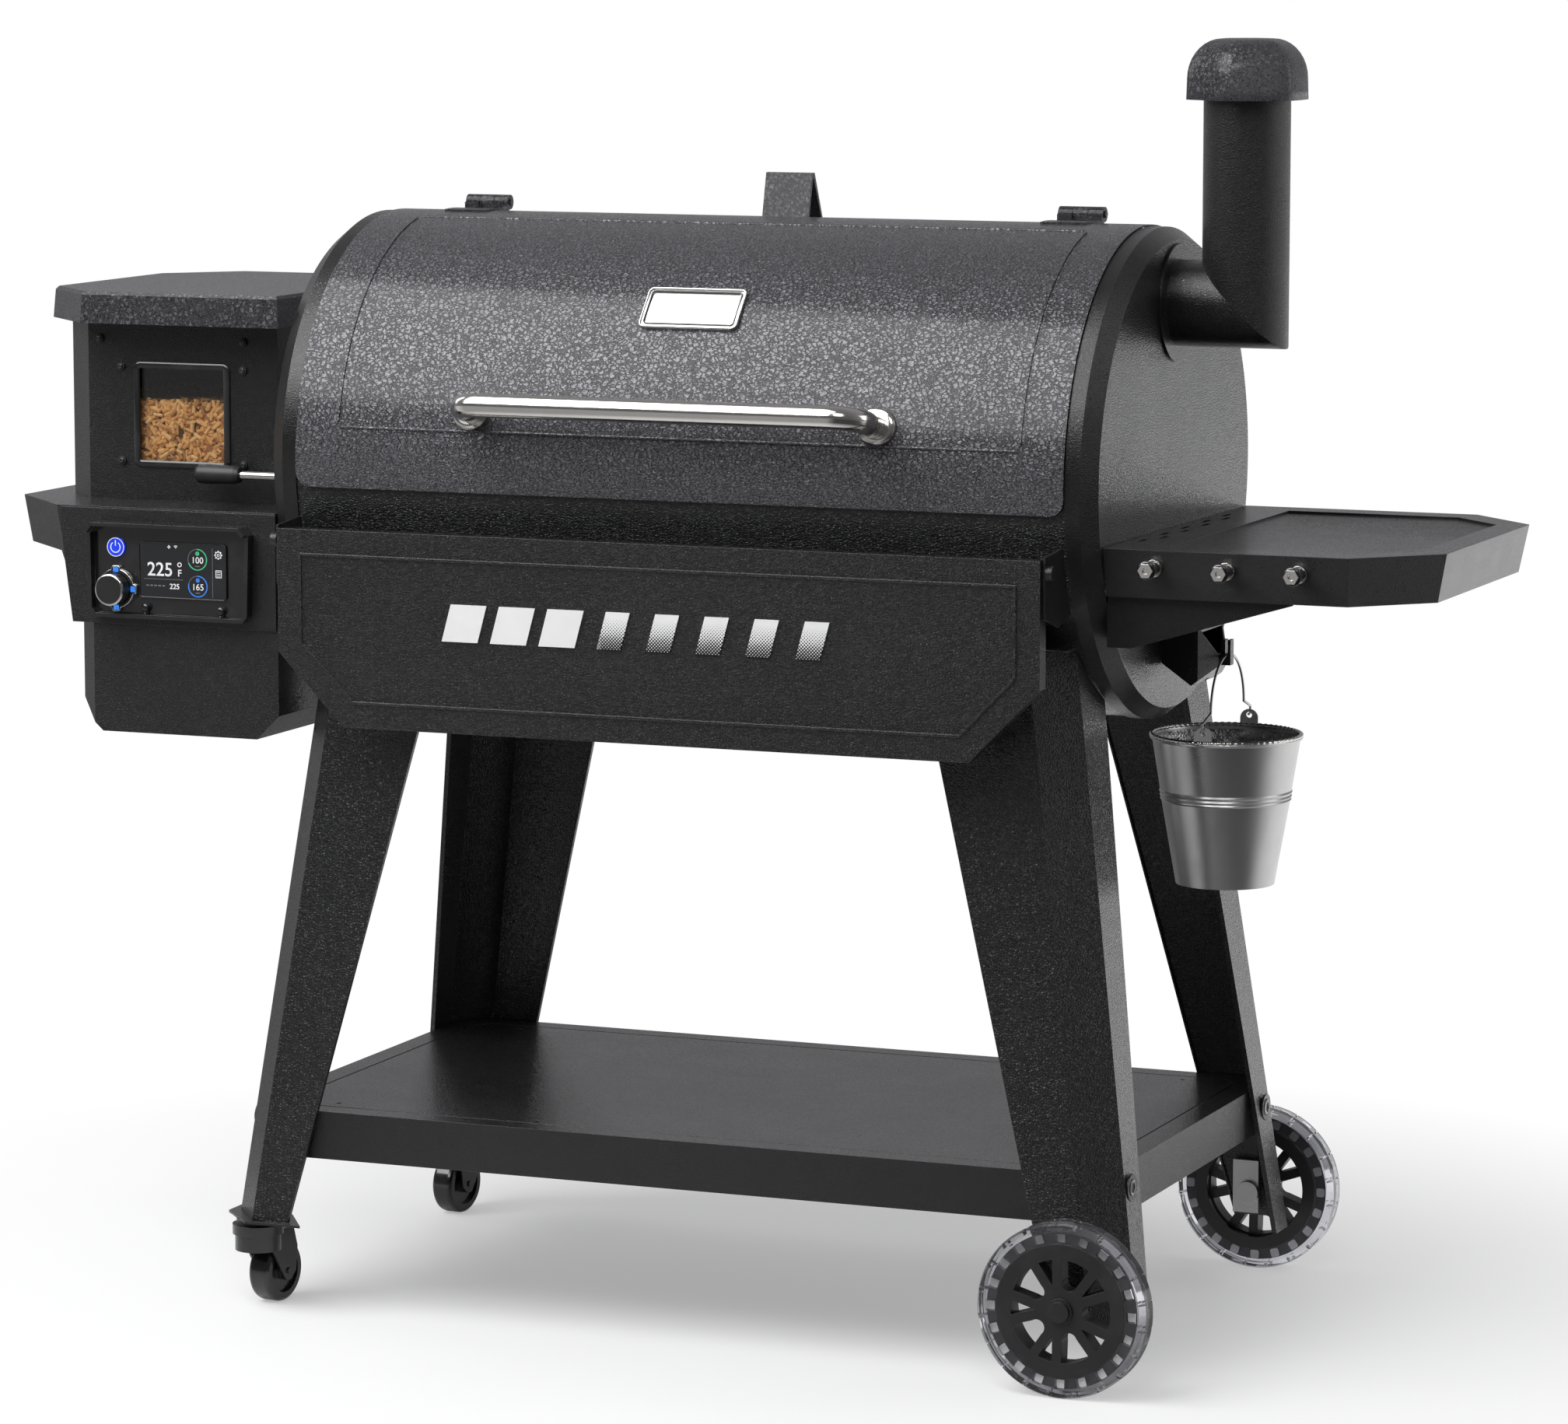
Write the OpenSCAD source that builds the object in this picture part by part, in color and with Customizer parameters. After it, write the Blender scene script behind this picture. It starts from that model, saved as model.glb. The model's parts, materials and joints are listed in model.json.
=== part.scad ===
// Pellet smoker grill on a wheeled cart. Millimetres, +Z up, floor at Z = 0.
// X runs along the barrel (hopper at -X), the cook stands at -Y.

/* [Barrel] */
// Height of the barrel axis above the floor
barrel_z = 1022; // [960:1:1060]
// Outer radius of the barrel shell
barrel_r = 286; // [284:1:288]
// Half length of the barrel between its end caps
barrel_half = 484; // [480:1:486]
// Sheet thickness of the barrel and the lid
sheet = 2; // [1.6:0.1:2.4]

/* [Lid] */
// Radius of the handle bar
handle_r = 14; // [11:0.5:15]
// Distance of the handle bar from the barrel axis
handle_reach = 352; // [345:1:365]
// Half width between the handle posts
handle_half = 252; // [220:1:270]

/* [Shelves] */
// Height of the side shelf top
side_shelf_z = 960.5; // [950:0.5:970]
// Height of the lower shelf top
lower_shelf_z = 248; // [230:1:280]

/* [Hopper] */
// Top of the hopper box under its lid
hopper_top = 1177; // [1150:1:1200]
// Top level of the pellets behind the window
pellet_level = 1081; // [1030:1:1110]

/* [Wheels] */
// Diameter of the two large wheels
wheel_d = 203; // [200:1:206]
// Diameter of the swivel caster wheels
caster_d = 76; // [74:1:78]
// Heading of the casters at rest, degrees about the vertical
caster_yaw = -8; // [-30:1:30]

/* [Show] */
// Which piece to draw

/* [Hidden] */
$fn = 72;
centre_shift = 9.5;      // moves the middle of the bounding box to X = 0
EPS = 0.05;              // clearance between coaxial pieces
RUN = 0.05;              // radial clearance of a running fit
cap_band = 502;          // outer end of the end cap's round band
cap_face = 520;          // flat outer face of the end caps
ring_r = 288;            // radius of the end cap band
lid_r = 290;             // outer radius of the lid
shell_inner = barrel_r - sheet;
hinge_y = 50;
hinge_z = barrel_z + 298;
hinge_x = 385;
knuckle_r = 9;
pin_r = 4;
grate_z = 1008;
lever_y = -195;
lever_z = 997;
lever_r = 5;
arm_z = 900;
probe_y = -60;
probe_z = 1120;
probe_r = 4;
deck_top = 960;
deck_skirt = 58;
auger_z = 812;
auger_y = 40;
tube_r = 26;
shaft_r = 6;
fan_x = -640;
fan_y = 150;
knob_x = -735;
knob_z = 862;
power_x = -736;
power_z = 912;
pot_x = -215;
fold_y = -333;
fold_z = 938;
chim_x = 603;
chim_z = 1222;
chim_r = 50.5;
bucket_x = 585;
bucket_top = 716;
hook_x = 586;
hook_z = 812;
bail_r = 1.5;
ear_y = 86;
bolt_y = 252;            // bolts that hold the legs to the lower shelf
bolt_z = 224;
bolt_r = 12;
bolt_head_r = 16;
bolt_seat = 557.2;
caster_x = -538;
caster_y = 303;
trail = 35;
wheel_x = 516;
wheel_y = 341;
wheel_w = 36;
wheel_r = wheel_d / 2;
rim_r = 77.5;
core_r = 91;
GRAPHITE = [0.22, 0.22, 0.24];
BLACK = [0.07, 0.07, 0.075];
STEEL = [0.78, 0.78, 0.78];

// ---- shared shapes
module placed() { translate([centre_shift, 0, 0]) children(); }
module at_barrel() { translate([0, 0, barrel_z]) children(); }
module x_cyl(r, x0, x1) { translate([x0, 0, 0]) rotate([0, 90, 0]) cylinder(r = r, h = x1 - x0); }
module y_cyl(r, y0, y1) { translate([0, y1, 0]) rotate([90, 0, 0]) cylinder(r = r, h = y1 - y0); }
module yz_plate(x0, x1) { translate([x0, 0, 0]) rotate([90, 0, 90]) linear_extrude(x1 - x0) children(); }
module xz_plate(y0, y1) { translate([0, y1, 0]) rotate([90, 0, 0]) linear_extrude(y1 - y0) children(); }
module box(p, q) { translate(p) cube(q - p); }
module both_x() { children(); mirror([1, 0, 0]) children(); }
module both_y() { children(); mirror([0, 1, 0]) children(); }
module rounded(w, h, r) {
  square([w - 2 * r, h], center = true);
  square([w, h - 2 * r], center = true);
  for (x = [-1, 1], y = [-1, 1]) translate([x * (w / 2 - r), y * (h / 2 - r)]) circle(r, $fn = 24);
}
// direction at angle a above the front horizon, in the YZ plane
function ring_dir(a) = [-cos(a), sin(a)];
module ring_sector(r0, r1, a0, a1, x0, x1) {
  at_barrel() intersection() {
    difference() { x_cyl(r1, x0, x1); x_cyl(r0, x0 - 1, x1 + 1); }
    yz_plate(x0 - 1, x1 + 1) polygon(concat([[0, 0]],
      [for (i = [0:6]) 520 * ring_dir(a0 + (a1 - a0) * i / 6)]));
  }
}

// ---- barrel
module barrel_shell() color(BLACK) {
  ring_sector(shell_inner, barrel_r, 97, 362, -barrel_half + EPS, barrel_half - EPS);
  // rails the grates rest on
  both_y() box([-469, 258, grate_z - 5], [469, 284.5, grate_z - EPS]);
}
module end_cap() {
  at_barrel() rotate([0, 90, 0]) rotate_extrude($fn = 96) polygon([
    [ring_r, barrel_half], [ring_r, cap_band], [274, cap_face], [0, cap_face], [0, cap_face - sheet],
    [273, cap_face - sheet], [barrel_r, cap_band - 0.8], [barrel_r, barrel_half + sheet],
    [shell_inner - 2 * sheet, barrel_half + sheet], [shell_inner - 2 * sheet, barrel_half - 14],
    [shell_inner - EPS, barrel_half - 14], [shell_inner - EPS, barrel_half]]);
}
module end_cap_left() color(BLACK) difference() {
  mirror([1, 0, 0]) end_cap();
  translate([0, lever_y, lever_z]) x_cyl(lever_r + RUN, -cap_face - 5, -470);
  translate([0, auger_y, auger_z]) x_cyl(tube_r + EPS, -cap_face - 5, -470);
  translate([0, probe_y, probe_z]) x_cyl(probe_r + EPS, -cap_face - 5, -470);
}
module end_cap_right() color(BLACK) difference() {
  end_cap();
  translate([0, 0, chim_z]) x_cyl(chim_r + EPS, 470, cap_face + 5);
  box([500, -14, 806], [530, 14, 826]);
}
module saddles() color(BLACK) both_x() difference() {
  union() {
    yz_plate(440, 443) polygon([[-262, 838.1], [-246, 838.1], [-244, 800], [-150, 748], [150, 748],
      [244, 800], [246, 838.1], [262, 838.1], [262, 868], [-262, 868]]);
    for (s = [-1, 1]) scale([1, s, 1]) {
      box([400, 226, 838.1], [478, 262, 841]);
      box([400, 259, 838.1], [443, 262, 868]);
    }
  }
  at_barrel() x_cyl(barrel_r + EPS, 300, 500);
}

// ---- lid
module lid_shell() color(GRAPHITE) difference() {
  union() {
    ring_sector(lid_r - sheet, lid_r, -5, 99.5, -barrel_half + 0.8, barrel_half - 0.8);
    for (s = [-1, 1]) ring_sector(lid_r - 1, lid_r + 1.4, 10.5, 77, s * 429 - 1.8, s * 429 + 1.8);
    for (a = [9.3, 78.4]) at_barrel() translate([0, (lid_r - 0.4) * ring_dir(a)[0],
      (lid_r - 0.4) * ring_dir(a)[1]])
      x_cyl(2, -424, 424);
  }
  // rounded lower corners
  both_x() at_barrel() translate([barrel_half - 0.8 - 18, 0, 0]) xz_plate(-320, -250) difference() {
    translate([0, -40]) square([30, 33]);
    translate([0, -25.3 + 18]) circle(18);
  }
}
module lid_badge() color(STEEL) {
  badge_a = 41.5;
  intersection() {
    ring_sector(lid_r + EPS, lid_r + 2.4, 30, 55, -70, 70);
    at_barrel() rotate([-badge_a, 0, 0]) xz_plate(-320, -200) rounded(124, 58, 10);
  }
  intersection() {
    ring_sector(lid_r + 2.4, lid_r + 3.6, 30, 55, -70, 70);
    at_barrel() rotate([-badge_a, 0, 0]) xz_plate(-320, -200) difference() {
      rounded(124, 58, 10);
      rounded(114, 48, 7);
    }
  }
}
module lid_handle() color(STEEL) at_barrel() rotate([-13.7, 0, 0]) {
  bend = 35;
  translate([0, -handle_reach, 0]) x_cyl(handle_r, -handle_half + bend, handle_half - bend);
  both_x() translate([handle_half - bend, -handle_reach + bend, 0]) {
    intersection() {
      rotate_extrude($fn = 48) translate([bend, 0]) circle(handle_r, $fn = 36);
      box([0, -90, -30], [90, 0, 30]);
    }
    translate([bend, 0, 0]) y_cyl(handle_r, 0, handle_reach - bend - lid_r - 0.5);
  }
  both_x() translate([handle_half, 0, 0]) difference() {
    y_cyl(19.5, -lid_r - 7, -lid_r + 2);
    y_cyl(handle_r + EPS, -lid_r - 12, -lid_r + 5);
    rotate([13.7, 0, 0]) x_cyl(lid_r + EPS, -60, 60);
  }
}
module lid_hinge_leaves() color(GRAPHITE) both_x() translate([hinge_x, 0, 0]) difference() {
  union() {
    ring_sector(lid_r + EPS, lid_r + 2.5, 86, 97.5, -28, 28);
    for (s = [-1, 1]) {
      x0 = s > 0 ? 9.6 : -28;
      translate([0, hinge_y, hinge_z]) x_cyl(knuckle_r, x0, x0 + 18.4);
      box([x0, hinge_y - 12, hinge_z - 14], [x0 + 18.4, hinge_y - 3, hinge_z]);
    }
  }
  translate([0, hinge_y, hinge_z]) x_cyl(pin_r + RUN, -40, 40);
  at_barrel() x_cyl(lid_r + EPS, -40, 40);
}
module barrel_hinges() color(GRAPHITE) both_x() translate([hinge_x, 0, 0]) {
  ring_sector(barrel_r + EPS, barrel_r + 3, 101, 113, -28, 28);
  difference() {
    union() {
      translate([0, hinge_y, hinge_z]) x_cyl(knuckle_r, -9, 9);
      yz_plate(-9, 9) polygon([[hinge_y, hinge_z - 17], [hinge_y + 9, hinge_z],
        [hinge_y + 52, hinge_z - 32], [hinge_y + 20, hinge_z - 30]]);
    }
    at_barrel() x_cyl(barrel_r + 1, -40, 40);
  }
  translate([0, hinge_y, hinge_z]) x_cyl(pin_r, -30, 30);
}
module lid_stop() color(GRAPHITE) difference() {
  yz_plate(-30, 30) polygon([[62, 1296], [78, 1361], [86, 1361], [122, 1284], [118, 1284], [82, 1356],
    [81, 1356], [65.5, 1296]]);
  at_barrel() x_cyl(barrel_r + EPS, -40, 40);
}

// ---- inside the barrel
module cooking_grates() color([0.12, 0.12, 0.12]) for (i = [-1:1]) translate([i * 314, 0, grate_z]) {
  difference() {
    box([-154, -262, 0], [154, 262, 7]);
    box([-148, -256, -1], [148, 256, 8]);
  }
  for (k = [-9:9]) box([k * 14.8 - 3, -256.5, 0.5], [k * 14.8 + 3, 256.5, 6.5]);
}
module upper_rack() color(STEEL) {
  for (y = [52, 190]) translate([0, y, 1150]) x_cyl(4, -400, 400);
  for (k = [-12:12]) translate([k * 32, 0, 1156.2]) y_cyl(2.4, 50, 192);
  // posts between the grates and the rails
  both_x() for (y = [52, 190]) translate([396, y, grate_z + 7 + EPS])
    cylinder(r = 4, h = 1146 - grate_z - 7 - 2 * EPS);
  both_x() translate([400, 0, 1156.2]) y_cyl(3, 52, 190);
}
module flame_broiler() color([0.16, 0.14, 0.13]) difference() {
  union() {
    box([-460, -168, 886], [470, 168, 889]);
    for (s = [-1, 1]) scale([1, s, 1]) box([-460, 165, 870], [470, 168, 886.5]);
    for (x = [-460, 467]) intersection() {
      box([x, -168, 700], [x + 3, 168, 886.5]);
      at_barrel() x_cyl(shell_inner - EPS, -470, 480);
    }
  }
  translate([0, auger_y, auger_z]) x_cyl(tube_r + EPS, -480, -440);
  box([450, -24, 700], [480, 24, 775]);
  for (j = [-2:2], i = [0:3]) box([pot_x - 56 + i * 32, j * 24 - 6, 880],
    [pot_x - 40 + i * 32, j * 24 + 6, 900]);
}
module broiler_slide() color([0.2, 0.18, 0.17]) difference() {
  union() {
    box([pot_x - 90, -78, 889.05], [pot_x + 90, 78, 891.5]);
    box([pot_x - 10, -80, 889.05], [pot_x + 10, -77, 905]);
  }
  for (j = [-2:2], i = [0:3]) box([pot_x - 40 + i * 32, j * 24 - 6, 880],
    [pot_x - 24 + i * 32, j * 24 + 6, 900]);
}
module lever_rod() color(STEEL) {
  translate([0, lever_y, lever_z]) x_cyl(lever_r, -612, pot_x + lever_r);
  translate([pot_x, lever_y, 0]) {
    translate([0, 0, arm_z]) cylinder(r = lever_r, h = lever_z - arm_z);
    translate([0, 0, arm_z]) sphere(lever_r, $fn = 24);
    translate([0, 0, lever_z]) sphere(lever_r, $fn = 24);
    translate([0, 0, arm_z]) y_cyl(lever_r, 0, -lever_y - 80 - EPS);
  }
}
module lever_grip() color(BLACK) translate([0, lever_y, lever_z]) difference() {
  rotate([0, 90, 0]) rotate_extrude($fn = 48) polygon([[0, -664], [9, -664], [11.5, -660], [12, -650],
    [11, -612], [9, -606], [0, -606]]);
  x_cyl(5, -612, -600);
}
module fire_pot() color([0.24, 0.22, 0.2]) {
  difference() {
    translate([pot_x, auger_y, 762]) cylinder(r = 58, h = 92);
    translate([pot_x, auger_y, 765]) cylinder(r = 55, h = 100);
    translate([0, auger_y, auger_z]) x_cyl(tube_r + EPS, pot_x - 80, pot_x);
    for (a = [20:40:340]) translate([pot_x, auger_y, 778]) rotate([0, 0, a]) x_cyl(3, 40, 70);
    translate([0, auger_y - 14, 780]) x_cyl(4.2, pot_x - 70, pot_x - 40);
  }
  // foot that stands on the barrel floor
  intersection() {
    translate([pot_x, auger_y, 730]) cylinder(r = 30, h = 32.1);
    at_barrel() x_cyl(shell_inner - EPS, -480, 480);
  }
  // igniter rod
  translate([0, auger_y - 14, 780]) x_cyl(4, pot_x - 110, pot_x - 35);
}
module auger_tube() color([0.4, 0.4, 0.4]) difference() {
  translate([0, auger_y, auger_z]) x_cyl(tube_r, -770, pot_x - 54);
  translate([0, auger_y, auger_z]) x_cyl(tube_r - sheet, -767, pot_x - 40);
  box([-760, auger_y - 20, auger_z + 12], [-690, auger_y + 20, auger_z + 40]);
  translate([0, auger_y, auger_z]) x_cyl(shaft_r + RUN, -775, -760);
}
module auger_screw() color(STEEL) translate([0, auger_y, auger_z]) {
  x_cyl(shaft_r, -789.9, pot_x - 60);
  for (x = [-758:26:pot_x - 72]) translate([x, 0, 0]) rotate([0, 14, 0]) difference() {
    x_cyl(22.6, -1.2, 1.2);
    x_cyl(5, -3, 3);
  }
}
module auger_motor() color([0.3, 0.3, 0.32]) translate([0, auger_y, auger_z]) difference() {
  union() {
    box([-794, -30, -32], [-770 - EPS, 30, 32]);
    x_cyl(24, -800, -793.9);
  }
  x_cyl(shaft_r + RUN, -790, -700);
}
module fan_housing() color(BLACK) {
  difference() {
    translate([fan_x, fan_y, 742]) cylinder(r = 62, h = 44);
    translate([fan_x, fan_y, 744]) cylinder(r = 59, h = 40);
    translate([fan_x, fan_y, 780]) cylinder(r = 30, h = 20);
    box([-590, 170, 752], [-560, 205, 776]);
  }
  translate([fan_x, fan_y, 687.5 + EPS]) cylinder(r = 24, h = 55);
  translate([fan_x, fan_y, 743]) cylinder(r = 3, h = 32);
}
module fan_impeller() color([0.2, 0.2, 0.2]) translate([fan_x, fan_y, 748]) {
  difference() {
    union() {
      cylinder(r = 52, h = 2.5);
      cylinder(r = 12, h = 30);
      for (a = [0:40:320]) rotate([0, 0, a]) box([30, -1.2, 1], [50, 1.2, 28]);
    }
    translate([0, 0, -1]) cylinder(r = 3 + RUN, h = 28.5);
  }
}
module temp_probe() color(STEEL) translate([0, probe_y, probe_z]) {
  x_cyl(probe_r, -cap_face - 4, -440);
  x_cyl(9, -cap_face - 7, -cap_face - EPS);
}

// ---- hopper
function deck_outline(i, right = -524) = [[right, -265 + i], [-820 + i * 0.6, -265 + i],
  [-918 + i, -169 + i * 0.4],
  [-918 + i, 169 - i * 0.4], [-820 + i * 0.6, 265 - i], [right, 265 - i]];
// solid between two outlines whose edges run the same way, so that every side is flat
module loft(low, top, z0, z1) {
  n = len(low);
  polyhedron(
    points = concat([for (p = low) [p[0], p[1], z0]], [for (p = top) [p[0], p[1], z1]]),
    faces = concat([[for (i = [0:n - 1]) i]], [[for (i = [0:n - 1]) 2 * n - 1 - i]],
      [for (i = [0:n - 1]) [i, i + n, (i + 1) % n + n, (i + 1) % n]]));
}
module frustum(top, low, z0, z1) {
  skin = 0.01;
  hull() {
    translate([0, 0, z0]) linear_extrude(skin) polygon(low);
    translate([0, 0, z1 - skin]) linear_extrude(skin) polygon(top);
  }
}
module hopper_deck() color(BLACK) {
  difference() {
    frustum(deck_outline(0), deck_outline(9), deck_top - deck_skirt, deck_top);
    frustum(deck_outline(2, -520), deck_outline(11, -520), deck_top - deck_skirt - 0.01, deck_top - 2);
    translate([0, 0, deck_top - 10]) linear_extrude(20) hopper_outline(-14);
  }
  // fascia that carries the control panel
  difference() {
    xz_plate(-265, -262.5) polygon([[-524, deck_top - 2], [-816, deck_top - 2],
      [-811, deck_top - deck_skirt],
      [-800, 818], [-524, 818]]);
    box([-764, -270, 832], [-562, -260, 938]);
  }
}
function hopper_poly(o) = [[-567 + o, -170 - o], [-825 - o * 0.41, -170 - o], [-872 - o, -123 - o * 0.41],
  [-872 - o, 123 + o * 0.41], [-825 - o * 0.41, 170 + o], [-567 + o, 170 + o]];
module hopper_outline(o) { polygon(hopper_poly(o)); }
module hopper_body() color(BLACK) difference() {
  translate([0, 0, deck_top + EPS]) linear_extrude(hopper_top - deck_top - EPS) difference() {
    hopper_outline(0);
    hopper_outline(-2);
  }
  translate([-697, 0, 1064.5]) xz_plate(-180, -160) rounded(125, 122, 7);
  box([-575, -150, 1004], [-560, -110, 1076]);
}
module window_pane() color([0.6, 0.6, 0.6, 0.35]) {
  translate([-697, 0, 1064.5]) xz_plate(-167.9, -165) rounded(142, 139, 9);
  box([-572, -156, 998], [-569.1, -104, 1082]);
}
module window_screws() color([0.1, 0.1, 0.1])
  for (p = [[-808.5, 1155.6], [-612.5, 1155.6], [-779.5, 1122.5], [-613, 1121.7], [-779.3, 1007],
    [-613, 1007]])
    translate([p[0], 0, p[1]]) {
      y_cyl(5.2, -173, -170 - EPS);
      y_cyl(3.4, -174.6, -172.9);
    }
module hopper_bin() color([0.18, 0.18, 0.18]) difference() {
  union() {
    frustum(hopper_poly(-30), [[-690, 15], [-750, 15], [-760, 20], [-760, 60], [-750, 65],
      [-690, 65]], 840, deck_top - 4);
    translate([0, 0, deck_top - 4]) linear_extrude(4 + 3) hopper_outline(-17);
  }
  frustum(hopper_poly(-32), [[-693, 18], [-749, 18], [-757, 22], [-757, 58], [-749, 62],
    [-693, 62]], 839.9, deck_top - 3.9);
  translate([0, 0, deck_top - 5]) linear_extrude(20) hopper_outline(-32);
}
module pellets() color([0.72, 0.5, 0.28]) {
  frustum(hopper_poly(-33), [[-694, 20], [-748, 20], [-755, 24], [-755, 56], [-748, 60], [-694, 60]],
    842, deck_top - 4);
  translate([0, 0, deck_top - 4.1]) linear_extrude(pellet_level - deck_top + 4.1) hopper_outline(-33);
  translate([0, 0, deck_top + 8]) linear_extrude(pellet_level - deck_top - 8) hopper_outline(-7.2);
}
module hopper_lid() color(GRAPHITE) {
  top = [[-543, -216], [-808, -216], [-888, -136], [-888, 136], [-808, 216], [-543, 216]];
  low = [[-541, -219], [-809, -219], [-891, -137], [-891, 137], [-809, 219], [-541, 219]];
  difference() {
    union() {
      frustum(top, low, hopper_top + 0.5, 1212);
      frustum([[-546, -212], [-806, -212], [-884, -134], [-884, 134], [-806, 212],
        [-546, 212]], top, 1211.99, 1216);
    }
    frustum([[-545.5, -213.5], [-807, -213.5], [-885.5, -135], [-885.5, 135], [-807, 213.5],
      [-545.5, 213.5]],
      [[-543, -217], [-808, -217], [-889, -136], [-889, 136], [-808, 217],
        [-543, 217]], hopper_top, 1213.5);
  }
  for (x = [-760, -640]) difference() {
    union() {
      translate([x, 226, 1184]) x_cyl(6, 10.1, 26);
      box([x + 10.1, 216, 1184], [x + 26, 227, 1190]);
      box([x + 10.1, 218, 1180], [x + 26, 223, 1190]);
    }
    translate([x, 226, 1184]) x_cyl(2.5 + RUN, 0, 40);
  }
}
module hopper_hinges() color(BLACK) for (x = [-760, -640]) {
  translate([x, 226, 1184]) x_cyl(6, -10, 10);
  translate([x, 226, 1184]) x_cyl(2.5, -12, 28);
  difference() {
    box([x - 10, 170 + EPS, 1150], [x + 10, 228, 1153]);
    box([x - 20, 100, 1140], [x + 20, 160, 1160]);
  }
  box([x - 10, 222, 1150], [x + 10, 230, 1184]);
  box([x - 10, 170 + EPS, 1120], [x + 10, 173, 1153]);
}
// lower hopper housing outline, with its outer wall at x and its half width y, made smaller by i
function case_line(x, y, i) = [[-523 - i, y - i], [x + 30 + i * 0.4, y - i], [x + i, y - 30 - i * 0.4],
  [x + i, i * 0.4 + 30 - y], [x + 30 + i * 0.4, i - y], [-523 - i, i - y]];
module hopper_casing() color(BLACK) difference() {
  union() {
    casing(0, 685.5, 818);
    loft(case_line(-803, 262, 0), case_line(-862, 245, 0), 818, 955);
  }
  casing(2, 687.5, 818.01);
  loft(case_line(-803, 262, 2), case_line(-862.02, 244.99, 2), 818, 955.1);
  translate([0, auger_y, auger_z]) x_cyl(tube_r + EPS, -540, -480);
  for (k = [0:5]) box([-780, -60 + k * 22, 720], [-760, -50 + k * 22, 770]);
}
module casing(i, z0, z1) {
  intersection() {
    translate([0, 0, z0]) linear_extrude(z1 - z0) polygon(case_line(-803, 262, i));
    xz_plate(-300, 300) polygon([[-803 + i, 900], [-803 + i, 722 + i * 0.4], [-762 + i * 0.6, z0],
      [-553 - i * 0.4, z0],
      [-523 - i, 715 + i * 0.4], [-523 - i, 900]]);
  }
}

// ---- control panel
function panel_shape(o) = [[-771 + o, 836 + o * 0.4], [-763 + o * 0.4, 827 + o],
  [-563 - o * 0.4, 827 + o],
  [-556 - o, 835 + o * 0.4], [-553 - o, 933 - o * 0.4], [-561 - o * 0.4, 943 - o],
    [-762 + o * 0.4, 943 - o], [-772 + o, 931 - o * 0.4]];
module control_bezel() color([0.09, 0.09, 0.1]) {
  difference() {
    xz_plate(-279, -265 - EPS) polygon(panel_shape(0));
    xz_plate(-290, -269) polygon(panel_shape(5));
    translate([knob_x, 0, knob_z]) y_cyl(8 + RUN, -280, -260);
    translate([power_x, 0, power_z]) y_cyl(11.6 + RUN, -280, -260);
  }
  xz_plate(-265.1, -262) polygon(panel_shape(12));
  // hood
  xz_plate(-290, -278.9) polygon([[-770, 932], [-762, 943], [-561, 943], [-553.5, 934], [-556, 931],
    [-563, 938.5], [-760, 938.5], [-767, 930]]);
}
module control_display() color([0.03, 0.03, 0.05])
  translate([-645.5, 0, 886.5]) xz_plate(-271, -269 - EPS) rounded(116, 66, 4);
module control_knob() color(STEEL) translate([knob_x, 0, knob_z]) {
  y_cyl(19, -292, -275);
  y_cyl(16.5, -293.5, -291.9);
  for (a = [0:30:330]) rotate([0, a, 0]) translate([18.6, 0, 0]) y_cyl(1.2, -291, -276);
  y_cyl(8, -275.1, -266);
}
module panel_trim() color([0.2, 0.35, 0.7]) {
  translate([knob_x, 0, knob_z]) difference() {
    y_cyl(23, -274.5, -269 - EPS);
    y_cyl(19.6, -276, -268);
  }
  for (x = [-696, -594]) translate([x, 0, 840]) difference() {
    y_cyl(5, -273, -269 - EPS);
    y_cyl(2, -276, -270);
  }
}
module power_button() color([0.1, 0.15, 0.75]) translate([power_x, 0, power_z]) y_cyl(11.6, -272.5, -267);

// ---- front shelf
function shelf_shape(o) = [[-478 + o, 952.7 - o], [-478 + o, 806 + o * 0.4], [-393 + o * 0.4, 719.5 + o],
  [393 - o * 0.4, 719.5 + o], [478 - o, 806 + o * 0.4], [478 - o, 952.7 - o]];
module front_shelf() color(BLACK) difference() {
  union() {
    difference() {
      xz_plate(-350, -330) polygon(shelf_shape(0));
      xz_plate(-348, -320) polygon(shelf_shape(2));
    }
    difference() {
      xz_plate(-351.2, -349.9) polygon(shelf_shape(28.5));
      xz_plate(-352, -349) polygon(shelf_shape(31.5));
    }
  }
  both_x() translate([0, fold_y - 5, fold_z]) x_cyl(5 + RUN, 470, 485);
}
module shelf_stripes() color(STEEL) for (i = [0:7]) {
  w = i < 3 ? 46 : 30;
  x = i < 3 ? -264 + i * 62 : -66 + (i - 3) * 62;
  xz_plate(-351.2, -350 - EPS) polygon([[x, 828], [x + w, 828], [x + w + 12, 872], [x + 12, 872]]);
}
module shelf_brackets() color(BLACK) both_x() {
  difference() {
    union() {
      yz_plate(479, 482) polygon([[-345, 886], [-345, 956], [-270, 962], [-240, 940], [-250, 884],
        [-300, 872]]);
      box([460, -292, 884], [480, -262, 887]);
    }
    at_barrel() x_cyl(barrel_r + EPS, 400, 500);
    at_barrel() x_cyl(lid_r + 0.6, 400, 500);
  }
  translate([0, fold_y - 5, fold_z]) {
    x_cyl(5, 471, 486);
    x_cyl(8.5, 482, 490);
    x_cyl(7, 471, 474.5);
  }
}

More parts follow.
